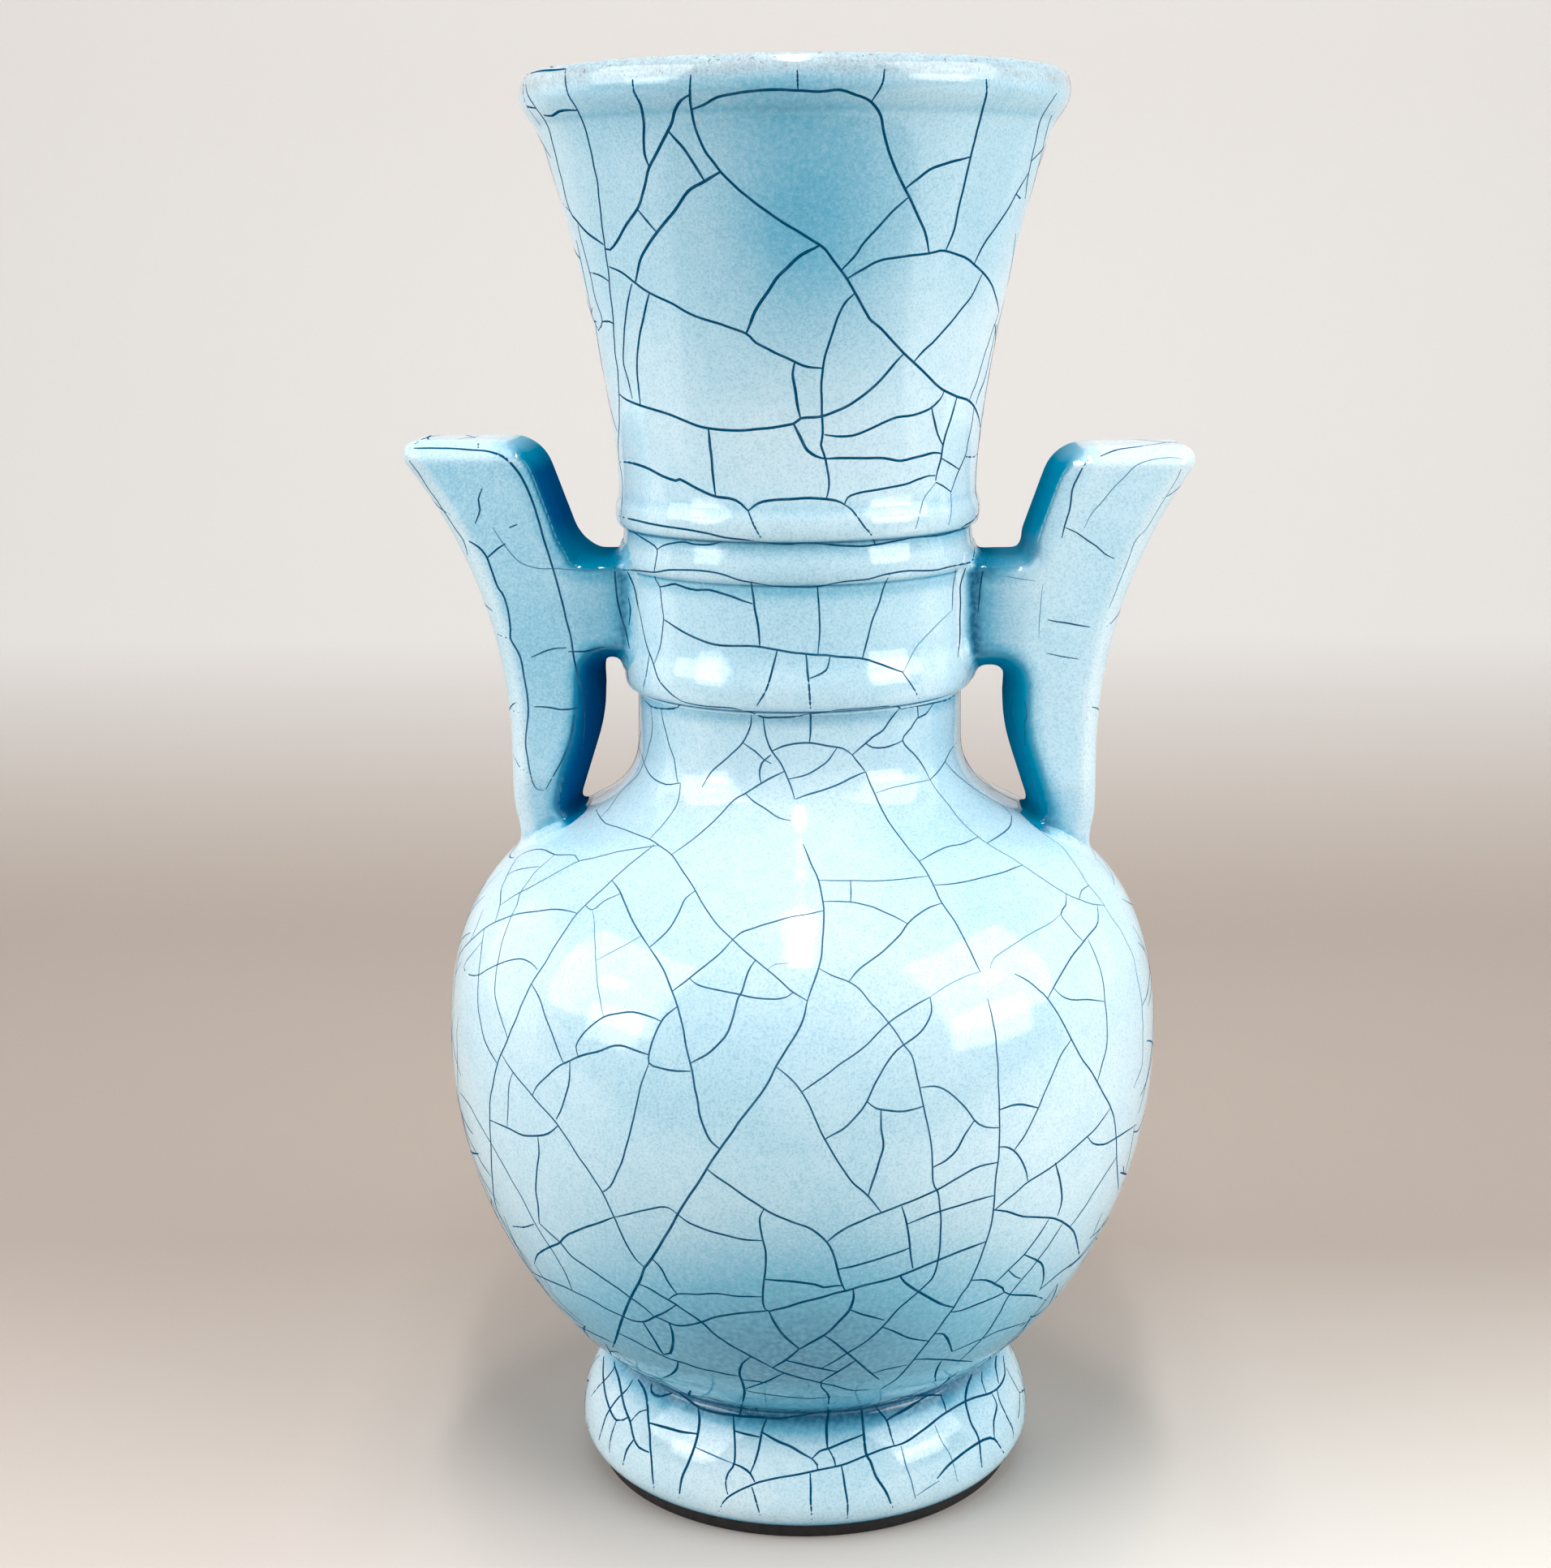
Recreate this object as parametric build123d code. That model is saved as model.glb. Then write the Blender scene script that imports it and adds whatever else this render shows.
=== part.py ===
"""A handled baluster vase in crackle-glazed stoneware.

The vase is thrown in sections that are joined with slip: a foot ring on a dark bare tread, two belly
halves, a neck of two bands and a trumpet mouth. Each section has a raised tongue on its upper edge,
which enters a rebate in the section above, and a thin bed of slip fills the joint. Two fin handles
with flared horns are pressed on, each with one pad of slip at the neck and one on the shoulder.

All lengths are in millimetres. Z points up, the handles lie along X, and the origin is the middle
of the face that the vase stands on.
"""
from build123d import *
import os

# Heights of the sections, stacked from the table up
tread_height = 2.4
foot_height = 18.6
lower_belly_height = 61.0
upper_belly_height = 63.0
drum_height = 21.3
collar_height = 7.2
mouth_height = 76.5

# Foot: the bare tread, the domed flank and the groove under the belly
foot_radius = 42.0
tread_inset = 4.3
tread_lean = 0.5
glaze_overhang = 0.6
foot_bulge_height = 4.4
foot_round_out = 1.8
foot_round_up = 1.8
foot_dome_rise = 5.6
foot_dome_out = 4.5
foot_dome_drop = 3.5
groove_radius = 35.0
foot_wall = 5.5
foot_flare = 1.5
floor_thickness = 5.0

# Belly: how far its outline runs straight on from each end before it turns
belly_radius = 64.0
belly_wall = 5.4
belly_rise_out = 12.0
belly_rise_up = 7.4
belly_side_below = 29.8
belly_side_above = 45.9
neck_sweep = 19.4

# Neck: its lower stem, and how far the two bands stand out from it to overhang what is below
neck_radius = 28.8
neck_wall = 4.6
stem_height = 8.6
drum_bulge_out = 1.8
drum_bulge_rise = 4.7
drum_waist_out = 1.1
collar_out = 2.1
collar_bulge_rise = 2.4
collar_top_out = 1.7
ledge_round = 0.9

# Trumpet mouth, which stands out from the stem too, and its rolled lip
mouth_foot_out = 3.2
mouth_foot_rise = 2.6
mouth_waist_out = 2.5
mouth_waist_rise = 6.2
mouth_straight = 16.0
mouth_flare_out = 4.8
mouth_flare_up = 11.9
lip_groove_radius = 44.1
lip_out = 2.5
lip_crest_inset = 2.6
lip_height = 8.0
lip_bulge_drop = 3.7
lip_inner_drop = 3.6
mouth_wall = 5.0

# Joints between the sections
tongue_height = 2.5
slip = 0.8

# Handles: the upright fin with its horn, and the strut that ties it to the neck
fin_width = 16.6
fin_depth = 22.0
fin_straight_drop = 10.0
fin_waist_drop = 4.4
fin_toe_drop = 23.5
fin_toe_step = 6.2
fin_shoulder_rise = 18.5
fin_shoulder_step = 2.3
horn_rise = 15.0
horn_tip_radius = 70.9
horn_inset = 11.3
horn_tip_round = 2.5
horn_crown_round = 7.5
fin_bend_round = 60.0
fin_waist_round = 30.0
fin_toe_round = 15.0
edge_round = 2.2
toe_bevel_rise = 16.0
toe_bevel_depth = 7.0
strut_depth = 18.5
strut_height = 17.2
strut_top_rise = 1.6
strut_top_round = 8.0
strut_loop_round = 3.2
strut_overlap = 8.0
pad_margin = 1.0

# Each handle is set by hand, so its gap to the neck and its height differ a little
left_loop_gap = 5.5
left_lift = 0.9
right_loop_gap = 7.0
right_lift = -0.9

# Heights of the joints, and what follows from the values above
foot_joint = tread_height + foot_height
belly_joint = foot_joint + lower_belly_height
drum_joint = belly_joint + upper_belly_height
collar_joint = drum_joint + drum_height
mouth_joint = collar_joint + collar_height
top = mouth_joint + mouth_height
foot_inner_radius = groove_radius - foot_wall
tread_inner_radius = foot_inner_radius + foot_flare
tread_radius = foot_radius - tread_inset
bore_radius = neck_radius - neck_wall
inner_belly_radius = belly_radius - belly_wall
drum_bulge_radius = neck_radius + drum_bulge_out
drum_waist_radius = neck_radius + drum_waist_out
collar_radius = neck_radius + collar_out
collar_top_radius = neck_radius + collar_top_out
mouth_foot_radius = neck_radius + mouth_foot_out
mouth_waist_radius = neck_radius + mouth_waist_out
lip_radius = lip_groove_radius + lip_out
lip_crest_radius = lip_radius - lip_crest_inset
floor_bottom = foot_joint + tongue_height + slip
floor_top = floor_bottom + floor_thickness
stem_start = drum_joint - stem_height
reach = 2 * belly_radius


def foot_outline():
    """The outside from the bare tread to the groove under the belly."""
    bulge = tread_height + foot_bulge_height
    glaze_edge = tread_radius + tread_lean + glaze_overhang
    return [
        Line((tread_inner_radius, 0), (tread_radius, 0)),
        Line((tread_radius, 0), (tread_radius + tread_lean, tread_height)),
        Line((tread_radius + tread_lean, tread_height), (glaze_edge, tread_height)),
        Bezier((glaze_edge, tread_height), (glaze_edge + foot_round_out, tread_height),
               (foot_radius, tread_height + foot_round_up), (foot_radius, bulge)),
        Bezier((foot_radius, bulge), (foot_radius, bulge + foot_dome_rise),
               (groove_radius + foot_dome_out, foot_joint - foot_dome_drop), (groove_radius, foot_joint)),
        Line((groove_radius, foot_joint), (groove_radius, foot_joint + slip)),
    ]


def belly_outline():
    """The outside from the groove over the widest part and the shoulder to the neck's stem."""
    start = foot_joint + slip
    return [
        Bezier((groove_radius, start), (groove_radius + belly_rise_out, start + belly_rise_up),
               (belly_radius, belly_joint - belly_side_below), (belly_radius, belly_joint)),
        Bezier((belly_radius, belly_joint), (belly_radius, belly_joint + belly_side_above),
               (neck_radius, stem_start - neck_sweep), (neck_radius, stem_start)),
        Line((neck_radius, stem_start), (neck_radius, drum_joint + slip)),
    ]


def ledge(inner, outer, rise, height):
    """A flat ledge that faces down, its rounded edge, and the start of the band above it."""
    edge = outer - ledge_round
    return [
        Line((inner, height), (edge, height)),
        Bezier((edge, height), (outer, height), (outer, height + rise)),
    ]


def swell(low_radius, low, high_radius, high):
    """A soft change of radius between two heights, upright at both ends."""
    middle = (low + high) / 2
    return Bezier((low_radius, low), (low_radius, middle), (high_radius, middle), (high_radius, high))


def neck_outline():
    """The outside of the two neck bands, each overhanging what it stands on."""
    drum_start = drum_joint + slip
    drum_end = collar_joint + slip
    collar_end = mouth_joint + slip
    drum_bulge = drum_start + drum_bulge_rise
    collar_bulge = drum_end + collar_bulge_rise
    return [
        *ledge(neck_radius, drum_bulge_radius, drum_bulge_rise, drum_start),
        swell(drum_bulge_radius, drum_bulge, drum_waist_radius, drum_end),
        *ledge(drum_waist_radius, collar_radius, collar_bulge_rise, drum_end),
        swell(collar_radius, collar_bulge, collar_top_radius, collar_end),
    ]


def mouth_outline():
    """The outside of the trumpet, over its rolled lip, to the inner edge of the lip."""
    start = mouth_joint + slip
    bulge = start + mouth_foot_rise
    waist = start + mouth_waist_rise
    lip_start = top - lip_height
    lip_bulge = top - lip_bulge_drop
    lip_inner = lip_groove_radius - mouth_wall + lip_out / 2
    return [
        *ledge(collar_top_radius, mouth_foot_radius, mouth_foot_rise, start),
        swell(mouth_foot_radius, bulge, mouth_waist_radius, waist),
        Bezier((mouth_waist_radius, waist), (mouth_waist_radius, waist + mouth_straight),
               (lip_groove_radius - mouth_flare_out, lip_start - mouth_flare_up),
               (lip_groove_radius, lip_start)),
        Bezier((lip_groove_radius, lip_start), (lip_radius, lip_start + (lip_bulge - lip_start) / 3),
               (lip_radius, lip_bulge)),
        Bezier((lip_radius, lip_bulge), (lip_radius, top), (lip_crest_radius, top)),
        Bezier((lip_crest_radius, top), (lip_inner, top), (lip_inner, top - lip_inner_drop)),
    ]


def inside_outline():
    """The inside from the lip down the bore and the belly to the floor, and the hollow under the foot."""
    lip_start = top - lip_height
    lip_inner = lip_groove_radius - mouth_wall + lip_out / 2
    waist = mouth_joint + slip + mouth_waist_rise
    stem_inside = stem_start - belly_wall / 2
    return [
        Bezier((lip_inner, top - lip_inner_drop),
               (lip_groove_radius - mouth_wall - mouth_flare_out, lip_start - mouth_flare_up),
               (bore_radius, waist + mouth_straight), (bore_radius, waist)),
        Line((bore_radius, waist), (bore_radius, stem_inside)),
        Bezier((bore_radius, stem_inside), (bore_radius, stem_inside - neck_sweep),
               (inner_belly_radius, belly_joint + belly_side_above - belly_wall),
               (inner_belly_radius, belly_joint)),
        Bezier((inner_belly_radius, belly_joint), (inner_belly_radius, belly_joint - belly_side_below),
               (groove_radius + belly_rise_out, floor_top), (groove_radius - belly_wall, floor_top)),
        Line((groove_radius - belly_wall, floor_top), (0, floor_top)),
        Line((0, floor_top), (0, floor_bottom)),
        Line((0, floor_bottom), (foot_inner_radius, floor_bottom)),
        Line((foot_inner_radius, floor_bottom), (tread_inner_radius, 0)),
    ]


def wall_face():
    """The whole wall of the vase as one flat section, from the axis outwards."""
    outside = foot_outline() + belly_outline() + neck_outline() + mouth_outline()
    return make_face(Curve() + outside + inside_outline())


def envelope_face(grow):
    """Everything within the outside of the belly and the neck, grown by a coat of the given depth."""
    outside = belly_outline() + neck_outline()
    first = outside[0] @ 0
    last = outside[-1] @ 1
    closing = Polyline((last.X, last.Y), (0, last.Y), (0, first.Y), (first.X, first.Y))
    face = make_face(Curve() + outside + [closing])
    return face + Pos(grow, 0) * face + Pos(0, grow) * face


def below(height, shoulder, offset=0):
    """The region under a stepped joint: a flat outer seat and a raised tongue inside it."""
    seat = height + offset
    step = shoulder + offset
    return make_face(Polyline(
        (0, -reach), (reach, -reach), (reach, seat), (step, seat),
        (step, seat + tongue_height), (0, seat + tongue_height), close=True))


def turned(section):
    """A flat section of radius and height, turned about the axis from the back, clear of the handles."""
    return revolve(Plane.YZ * section, Axis.Z)


def thrown_sections():
    """The sections of the vase and the slip between them, cut from the one wall."""
    wall = wall_face()
    joints = {
        "foot": (foot_joint, (foot_inner_radius + groove_radius) / 2),
        "belly": (belly_joint, (inner_belly_radius + belly_radius) / 2),
        "drum": (drum_joint, (bore_radius + neck_radius) / 2),
        "collar": (collar_joint, (bore_radius + drum_waist_radius) / 2),
        "mouth": (mouth_joint, (bore_radius + collar_top_radius) / 2),
    }
    tread_cut = Pos(reach / 2, (tread_height - reach) / 2) * Rectangle(reach, tread_height + reach)
    names = ["foot_ring", "lower_belly", "upper_belly", "neck_drum", "neck_collar", "trumpet_mouth"]
    pieces = {"foot_tread": turned(wall & tread_cut)}
    rest = wall - tread_cut
    for name, (joint, (height, shoulder)) in zip(names, joints.items()):
        pieces[name] = turned(rest & below(height, shoulder))
        bed = below(height, shoulder, slip) - below(height, shoulder)
        pieces[f"{joint}_slip"] = turned(rest & bed)
        rest = rest - below(height, shoulder, slip)
    pieces[names[-1]] = turned(rest)
    return pieces


# Heights along the handle before it is lifted to its own place
fin_straight_top = drum_joint - fin_straight_drop
fin_waist = drum_joint - fin_waist_drop
fin_shoulder = drum_joint + fin_shoulder_rise
fin_toe = drum_joint - fin_toe_drop
handle_top = mouth_joint + horn_rise
strut_top = collar_joint + strut_top_rise
strut_bottom = strut_top - strut_height
root = belly_joint


def fin_face(fin_inner):
    """The outline of a fin: upright below, flared into a horn above, its root inside the belly."""
    fin_outer = fin_inner + fin_width
    horn_inner = fin_inner + horn_inset
    toe = fin_inner + fin_toe_step
    inner = FilletPolyline(
        (horn_inner, handle_top), (fin_inner + fin_shoulder_step, fin_shoulder), (fin_inner, fin_waist),
        (toe, fin_toe), (toe, root), radius=[fin_bend_round, fin_waist_round, fin_toe_round])
    outline = Curve() + [
        Line((fin_outer, root), (fin_outer, fin_straight_top)),
        TangentArc((fin_outer, fin_straight_top), (horn_tip_radius, handle_top), tangent=(0, 1)),
        Line((horn_tip_radius, handle_top), (horn_inner, handle_top)),
        inner,
        Line((toe, root), (fin_outer, root)),
    ]
    face = make_face(outline)
    tip = face.vertices().sort_by(Axis.X)[-1]
    face = fillet(tip, horn_tip_round)
    crown = face.vertices().sort_by_distance((horn_inner, handle_top))[0]
    return fillet(crown, horn_crown_round)


def strut_face(fin_inner):
    """The outline of the strut, hollowed into the fin above and below, its end inside the neck."""
    end = bore_radius - neck_wall
    bend = fin_inner + fin_shoulder_step
    lean_above = (horn_inset - fin_shoulder_step) / (handle_top - fin_shoulder)
    lean_below = fin_shoulder_step / (fin_shoulder - fin_waist)
    crotch = bend + lean_above * (strut_top - fin_shoulder)
    arch = bend + lean_below * (strut_bottom - fin_shoulder)
    rise = strut_top_round
    drop = 2 * strut_loop_round
    bury = fin_inner + strut_overlap
    outline = FilletPolyline(
        (end, strut_bottom), (arch, strut_bottom), (arch - lean_below * drop, strut_bottom - drop),
        (bury, strut_bottom - drop), (bury + lean_above * rise, strut_top + rise),
        (crotch + lean_above * rise, strut_top + rise), (crotch, strut_top), (end, strut_top),
        radius=[strut_loop_round, 0, 0, 0, 0, strut_top_round])
    return make_face(Curve() + [outline, Line((end, strut_top), (end, strut_bottom))])


def slab(face, depth):
    """A face of the handle's outline, given an even depth across the vase's middle plane."""
    return extrude(Plane.XZ * face, amount=depth / 2, both=True)


def toe_bevels():
    """Two wedges that thin the foot of the fin, front and back, towards the shoulder."""
    half = fin_depth / 2
    start = fin_toe + toe_bevel_rise / 2
    section = make_face(Polyline(
        (half, start), (half - toe_bevel_depth, start - toe_bevel_rise),
        (half - toe_bevel_depth, root), (2 * half, root), (2 * half, start), close=True))
    wedge = extrude(Plane.YZ * section, amount=reach)
    return wedge + mirror(wedge, Plane.XZ)


def fin_solid(face):
    """A fin with a bevelled toe and soft front and back edges."""
    fin = slab(face, fin_depth) - toe_bevels()
    rims = [edge for side in fin.faces().filter_by(Axis.Y) for edge in side.edges()]
    return fillet([edge for edge in rims if edge.center().Z > fin_toe + toe_bevel_rise], edge_round)


def handle_pieces(loop_gap, lift):
    """A handle on the right of the vase and its two pads of slip."""
    coated = turned(envelope_face(slip))
    coat = turned(envelope_face(slip) - envelope_face(0))
    place = Pos(0, 0, lift)
    fin_inner = neck_radius + loop_gap
    fin = fin_face(fin_inner)
    strut = strut_face(fin_inner)
    toe = slab(offset(fin, amount=pad_margin), fin_depth - 2 * toe_bevel_depth + 2 * pad_margin)
    end = slab(offset(strut, amount=pad_margin), strut_depth + 2 * pad_margin)
    return {
        "handle": place * (fin_solid(fin) + slab(strut, strut_depth)) - coated,
        "neck_pad": place * end & coat,
        "shoulder_pad": place * toe & coat,
    }


def vase():
    """Every piece of the vase by name."""
    pieces = thrown_sections()
    for name, shape in handle_pieces(right_loop_gap, right_lift).items():
        pieces[f"right_{name}"] = shape
    for name, shape in handle_pieces(left_loop_gap, left_lift).items():
        pieces[f"left_{name}"] = mirror(shape, Plane.YZ)
    return pieces


os.makedirs("parts", exist_ok=True)
for name, shape in vase().items():
    export_step(shape, f"parts/{name}.step")
    print(f"{name}: {len(shape.solids())} solid, {shape.volume / 1000:.2f} cm3")
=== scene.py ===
# %% [markdown]
# # A handled vase in crackle glaze
# The vase was thrown in sections, luted together with slip, given two pressed fin handles, and fired under
# a thick pale blue glaze. As the kiln cooled, the glaze shrank more than the clay and broke into the fine
# net of cracks that potters call crackle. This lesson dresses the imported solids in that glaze: the sections
# are turned again with soft, glaze-filled ledges, the handles are melted into the wall, and the cracks are
# laid on the surface as thin dark threads.

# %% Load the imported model
import bpy
import bmesh
import math
import random
from mathutils import Matrix
from mathutils import Vector
from mathutils import noise
from mathutils.bvhtree import BVHTree
from mathutils.kdtree import KDTree


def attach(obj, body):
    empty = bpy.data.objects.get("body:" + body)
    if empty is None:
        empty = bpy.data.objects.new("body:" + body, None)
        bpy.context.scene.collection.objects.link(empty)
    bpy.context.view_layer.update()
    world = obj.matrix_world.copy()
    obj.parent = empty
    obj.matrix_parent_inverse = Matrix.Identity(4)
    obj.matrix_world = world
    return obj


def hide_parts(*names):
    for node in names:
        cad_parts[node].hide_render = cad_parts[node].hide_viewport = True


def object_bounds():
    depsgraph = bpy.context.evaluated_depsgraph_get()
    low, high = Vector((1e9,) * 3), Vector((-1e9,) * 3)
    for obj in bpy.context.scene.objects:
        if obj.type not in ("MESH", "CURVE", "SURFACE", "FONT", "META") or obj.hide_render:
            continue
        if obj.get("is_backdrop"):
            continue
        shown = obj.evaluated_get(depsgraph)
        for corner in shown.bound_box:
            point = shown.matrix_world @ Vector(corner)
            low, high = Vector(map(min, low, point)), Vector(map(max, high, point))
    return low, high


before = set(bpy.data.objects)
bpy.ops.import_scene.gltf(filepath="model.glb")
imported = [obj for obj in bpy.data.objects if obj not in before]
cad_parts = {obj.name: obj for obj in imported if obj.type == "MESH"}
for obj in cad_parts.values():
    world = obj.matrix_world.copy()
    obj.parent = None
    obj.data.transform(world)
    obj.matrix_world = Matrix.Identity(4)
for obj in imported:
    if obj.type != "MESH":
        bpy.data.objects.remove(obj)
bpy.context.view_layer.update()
MM = 0.001

# %% [markdown]
# ## The camera
# The view was fitted to the outline of the vase: a camera a little to the right of the middle, some 42 cm
# away and looking down by about twelve degrees. It comes first, because the cracks on the front are placed
# by the rays that leave this camera.

# %% Camera
PHOTO_WIDTH = 1911
PHOTO_HEIGHT = 1932
SENSOR = 36.0
LENS = 55.02
NEAREST_SEEN = 0.01
EYE = Vector((11.78, -421.19, 220.11)) * MM
YAW = math.radians(2.2)
PITCH = 0.21744
ROLL = -0.01036


def placed(name, data):
    """A new object with this data, linked into the scene."""
    made = bpy.data.objects.new(name, data)
    bpy.context.scene.collection.objects.link(made)
    return made


turn = Matrix.Rotation(YAW, 4, "Z")
tilt = Matrix.Rotation(math.pi / 2 - PITCH, 4, "X")
lean = Matrix.Rotation(ROLL, 4, "Z")
camera = placed("camera", bpy.data.cameras.new("camera"))
camera.data.sensor_width = SENSOR
camera.data.lens = LENS
camera.data.clip_start = NEAREST_SEEN
camera.matrix_world = Matrix.Translation(EYE) @ turn @ tilt @ lean
bpy.context.scene.camera = camera

LOOK = (turn @ tilt @ lean).to_3x3()
RIGHT = LOOK.col[0].copy()
UP = LOOK.col[1].copy()
AHEAD = -LOOK.col[2].copy()
FOCAL_PIXELS = LENS / SENSOR * max(PHOTO_WIDTH, PHOTO_HEIGHT)


def pixel_ray(x, y):
    """The direction from the camera through a pixel of the photograph."""
    across = (x - PHOTO_WIDTH / 2) / FOCAL_PIXELS
    down = (y - PHOTO_HEIGHT / 2) / FOCAL_PIXELS
    return (AHEAD + RIGHT * across - UP * down).normalized()


print("focal length in pixels:", round(FOCAL_PIXELS, 1))

# %% [markdown]
# ## Finishes
# A finish is a small tree of shader nodes. The helpers below keep the trees readable: `add` makes a node with
# its settings and inputs, `feed` joins a socket or gives it a plain value, `math` and `ramp` change a value,
# and `mix` blends two colours. Colours are written as the eye reads them, in sRGB from 0 to 255.

# %% Helpers for node trees
def srgb(red, green, blue):
    """A colour as the eye reads it, turned into the linear values that the shader wants."""
    def linear(value):
        part = value / 255
        if part <= 0.04045:
            return part / 12.92
        return ((part + 0.055) / 1.055) ** 2.4
    return (linear(red), linear(green), linear(blue), 1.0)


class NodeTree:
    """A tree of nodes, and short ways to add and join them."""

    def __init__(self, tree):
        self.tree = tree

    def feed(self, value, socket):
        """Joins a socket to another one, or gives it a plain value."""
        if isinstance(value, bpy.types.NodeSocket):
            self.tree.links.new(value, socket)
        else:
            socket.default_value = value

    def add(self, kind, inputs=None, **settings):
        """A new node, with its settings made and its inputs fed."""
        made = self.tree.nodes.new(kind)
        for key, value in settings.items():
            setattr(made, key, value)
        for key, value in (inputs or {}).items():
            self.feed(value, made.inputs[key])
        return made

    def math(self, operation, first, second):
        return self.add("ShaderNodeMath", {0: first, 1: second}, operation=operation).outputs["Value"]

    def ramp(self, value, low, high, to_low=0.0, to_high=1.0):
        """A value spread from one range to another, and held at its ends."""
        ends = {"Value": value, "From Min": low, "From Max": high, "To Min": to_low, "To Max": to_high}
        return self.add("ShaderNodeMapRange", ends, clamp=True).outputs["Result"]


class Finish(NodeTree):
    """A material with one Principled shader, whose patterns follow the place on the object."""

    def __init__(self, name):
        self.material = bpy.data.materials.new(name)
        self.material.use_nodes = True
        super().__init__(self.material.node_tree)
        self.shader = self.tree.nodes["Principled BSDF"].inputs
        self.place = self.add("ShaderNodeTexCoord").outputs["Object"]

    def noise(self, scale, detail=2.0, rough=0.5):
        """Soft noise at a number of swings per metre, from 0 to 1."""
        made = self.add("ShaderNodeTexNoise", {
            "Vector": self.place, "Scale": scale, "Detail": detail, "Roughness": rough})
        return made.outputs["Fac"]

    def attribute(self, name):
        return self.add("ShaderNodeAttribute", attribute_name=name).outputs["Fac"]

    def mix(self, factor, first, second, blend="MIX"):
        """Two colours, blended by a factor that varies over the surface."""
        made = self.add("ShaderNodeMix", {"Factor": factor}, data_type="RGBA", blend_type=blend)
        self.feed(first, made.inputs[6])
        self.feed(second, made.inputs[7])
        return made.outputs[2]

    def bump(self, height, strength, distance):
        made = self.add("ShaderNodeBump", {"Height": height, "Strength": strength, "Distance": distance})
        self.feed(made.outputs["Normal"], self.shader["Normal"])


print("node helpers ready")

# %% [markdown]
# ### The glaze
# The glaze is pale blue where it lies evenly, teal where it ran together in a corner, and nearly white where
# it drained off an edge. Three attributes made with the shapes steer the colour: `pool_and_shade` where glaze
# lies thick in hollows and also where shade is painted in as darker glaze, `thin` on edges, and
# `neck_shade_and_pool` on the handle faces beside the neck, which are painted turquoise and deep blue as
# shade over some real pooling. Noise of three sizes breaks the colour up: broad clouds, a soft mottle, and
# the fine grain of bubbles in the glass. One function makes three finishes from this: the glaze of the pot,
# that of the handles, which shines less and wears whiter, and the shaded glaze beside the neck, which has no
# shine, so that its painted deep blue stays deep.

# %% Glaze
PALE_BLUE = srgb(213, 238, 248)
SKY_BLUE = srgb(190, 228, 243)
CLEAR_TEAL = srgb(102, 182, 211)
DEEP_TEAL = srgb(8, 98, 136)
# Painted shade: the turquoise and deep blue of the handle faces beside the neck.
SHADE_TURQUOISE = srgb(0, 136, 170)
SHADE_NIGHT_BLUE = srgb(0, 80, 134)
CHALK = srgb(234, 238, 238)
# The grey where glaze wore thin on the pot: thin glaze over grey clay, and on the front of the lip also
# painted shade.
LIP_GREY = srgb(168, 182, 188)
GRAIN_DARK = srgb(196, 216, 224)
GRAIN_PALE = srgb(232, 245, 250)
IRON_SPECK = srgb(124, 116, 108)
PER_CLOUD = 22
PER_MOTTLE = 420
PER_GRAIN = 2300
PER_SPECK = 1500
GLAZE_IOR = 1.55
POT_GLOSS = 0.65
HANDLE_GLOSS = 0.5
SHADE_GLOSS = 0.0
RIPPLE = 0.4 * MM


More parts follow.
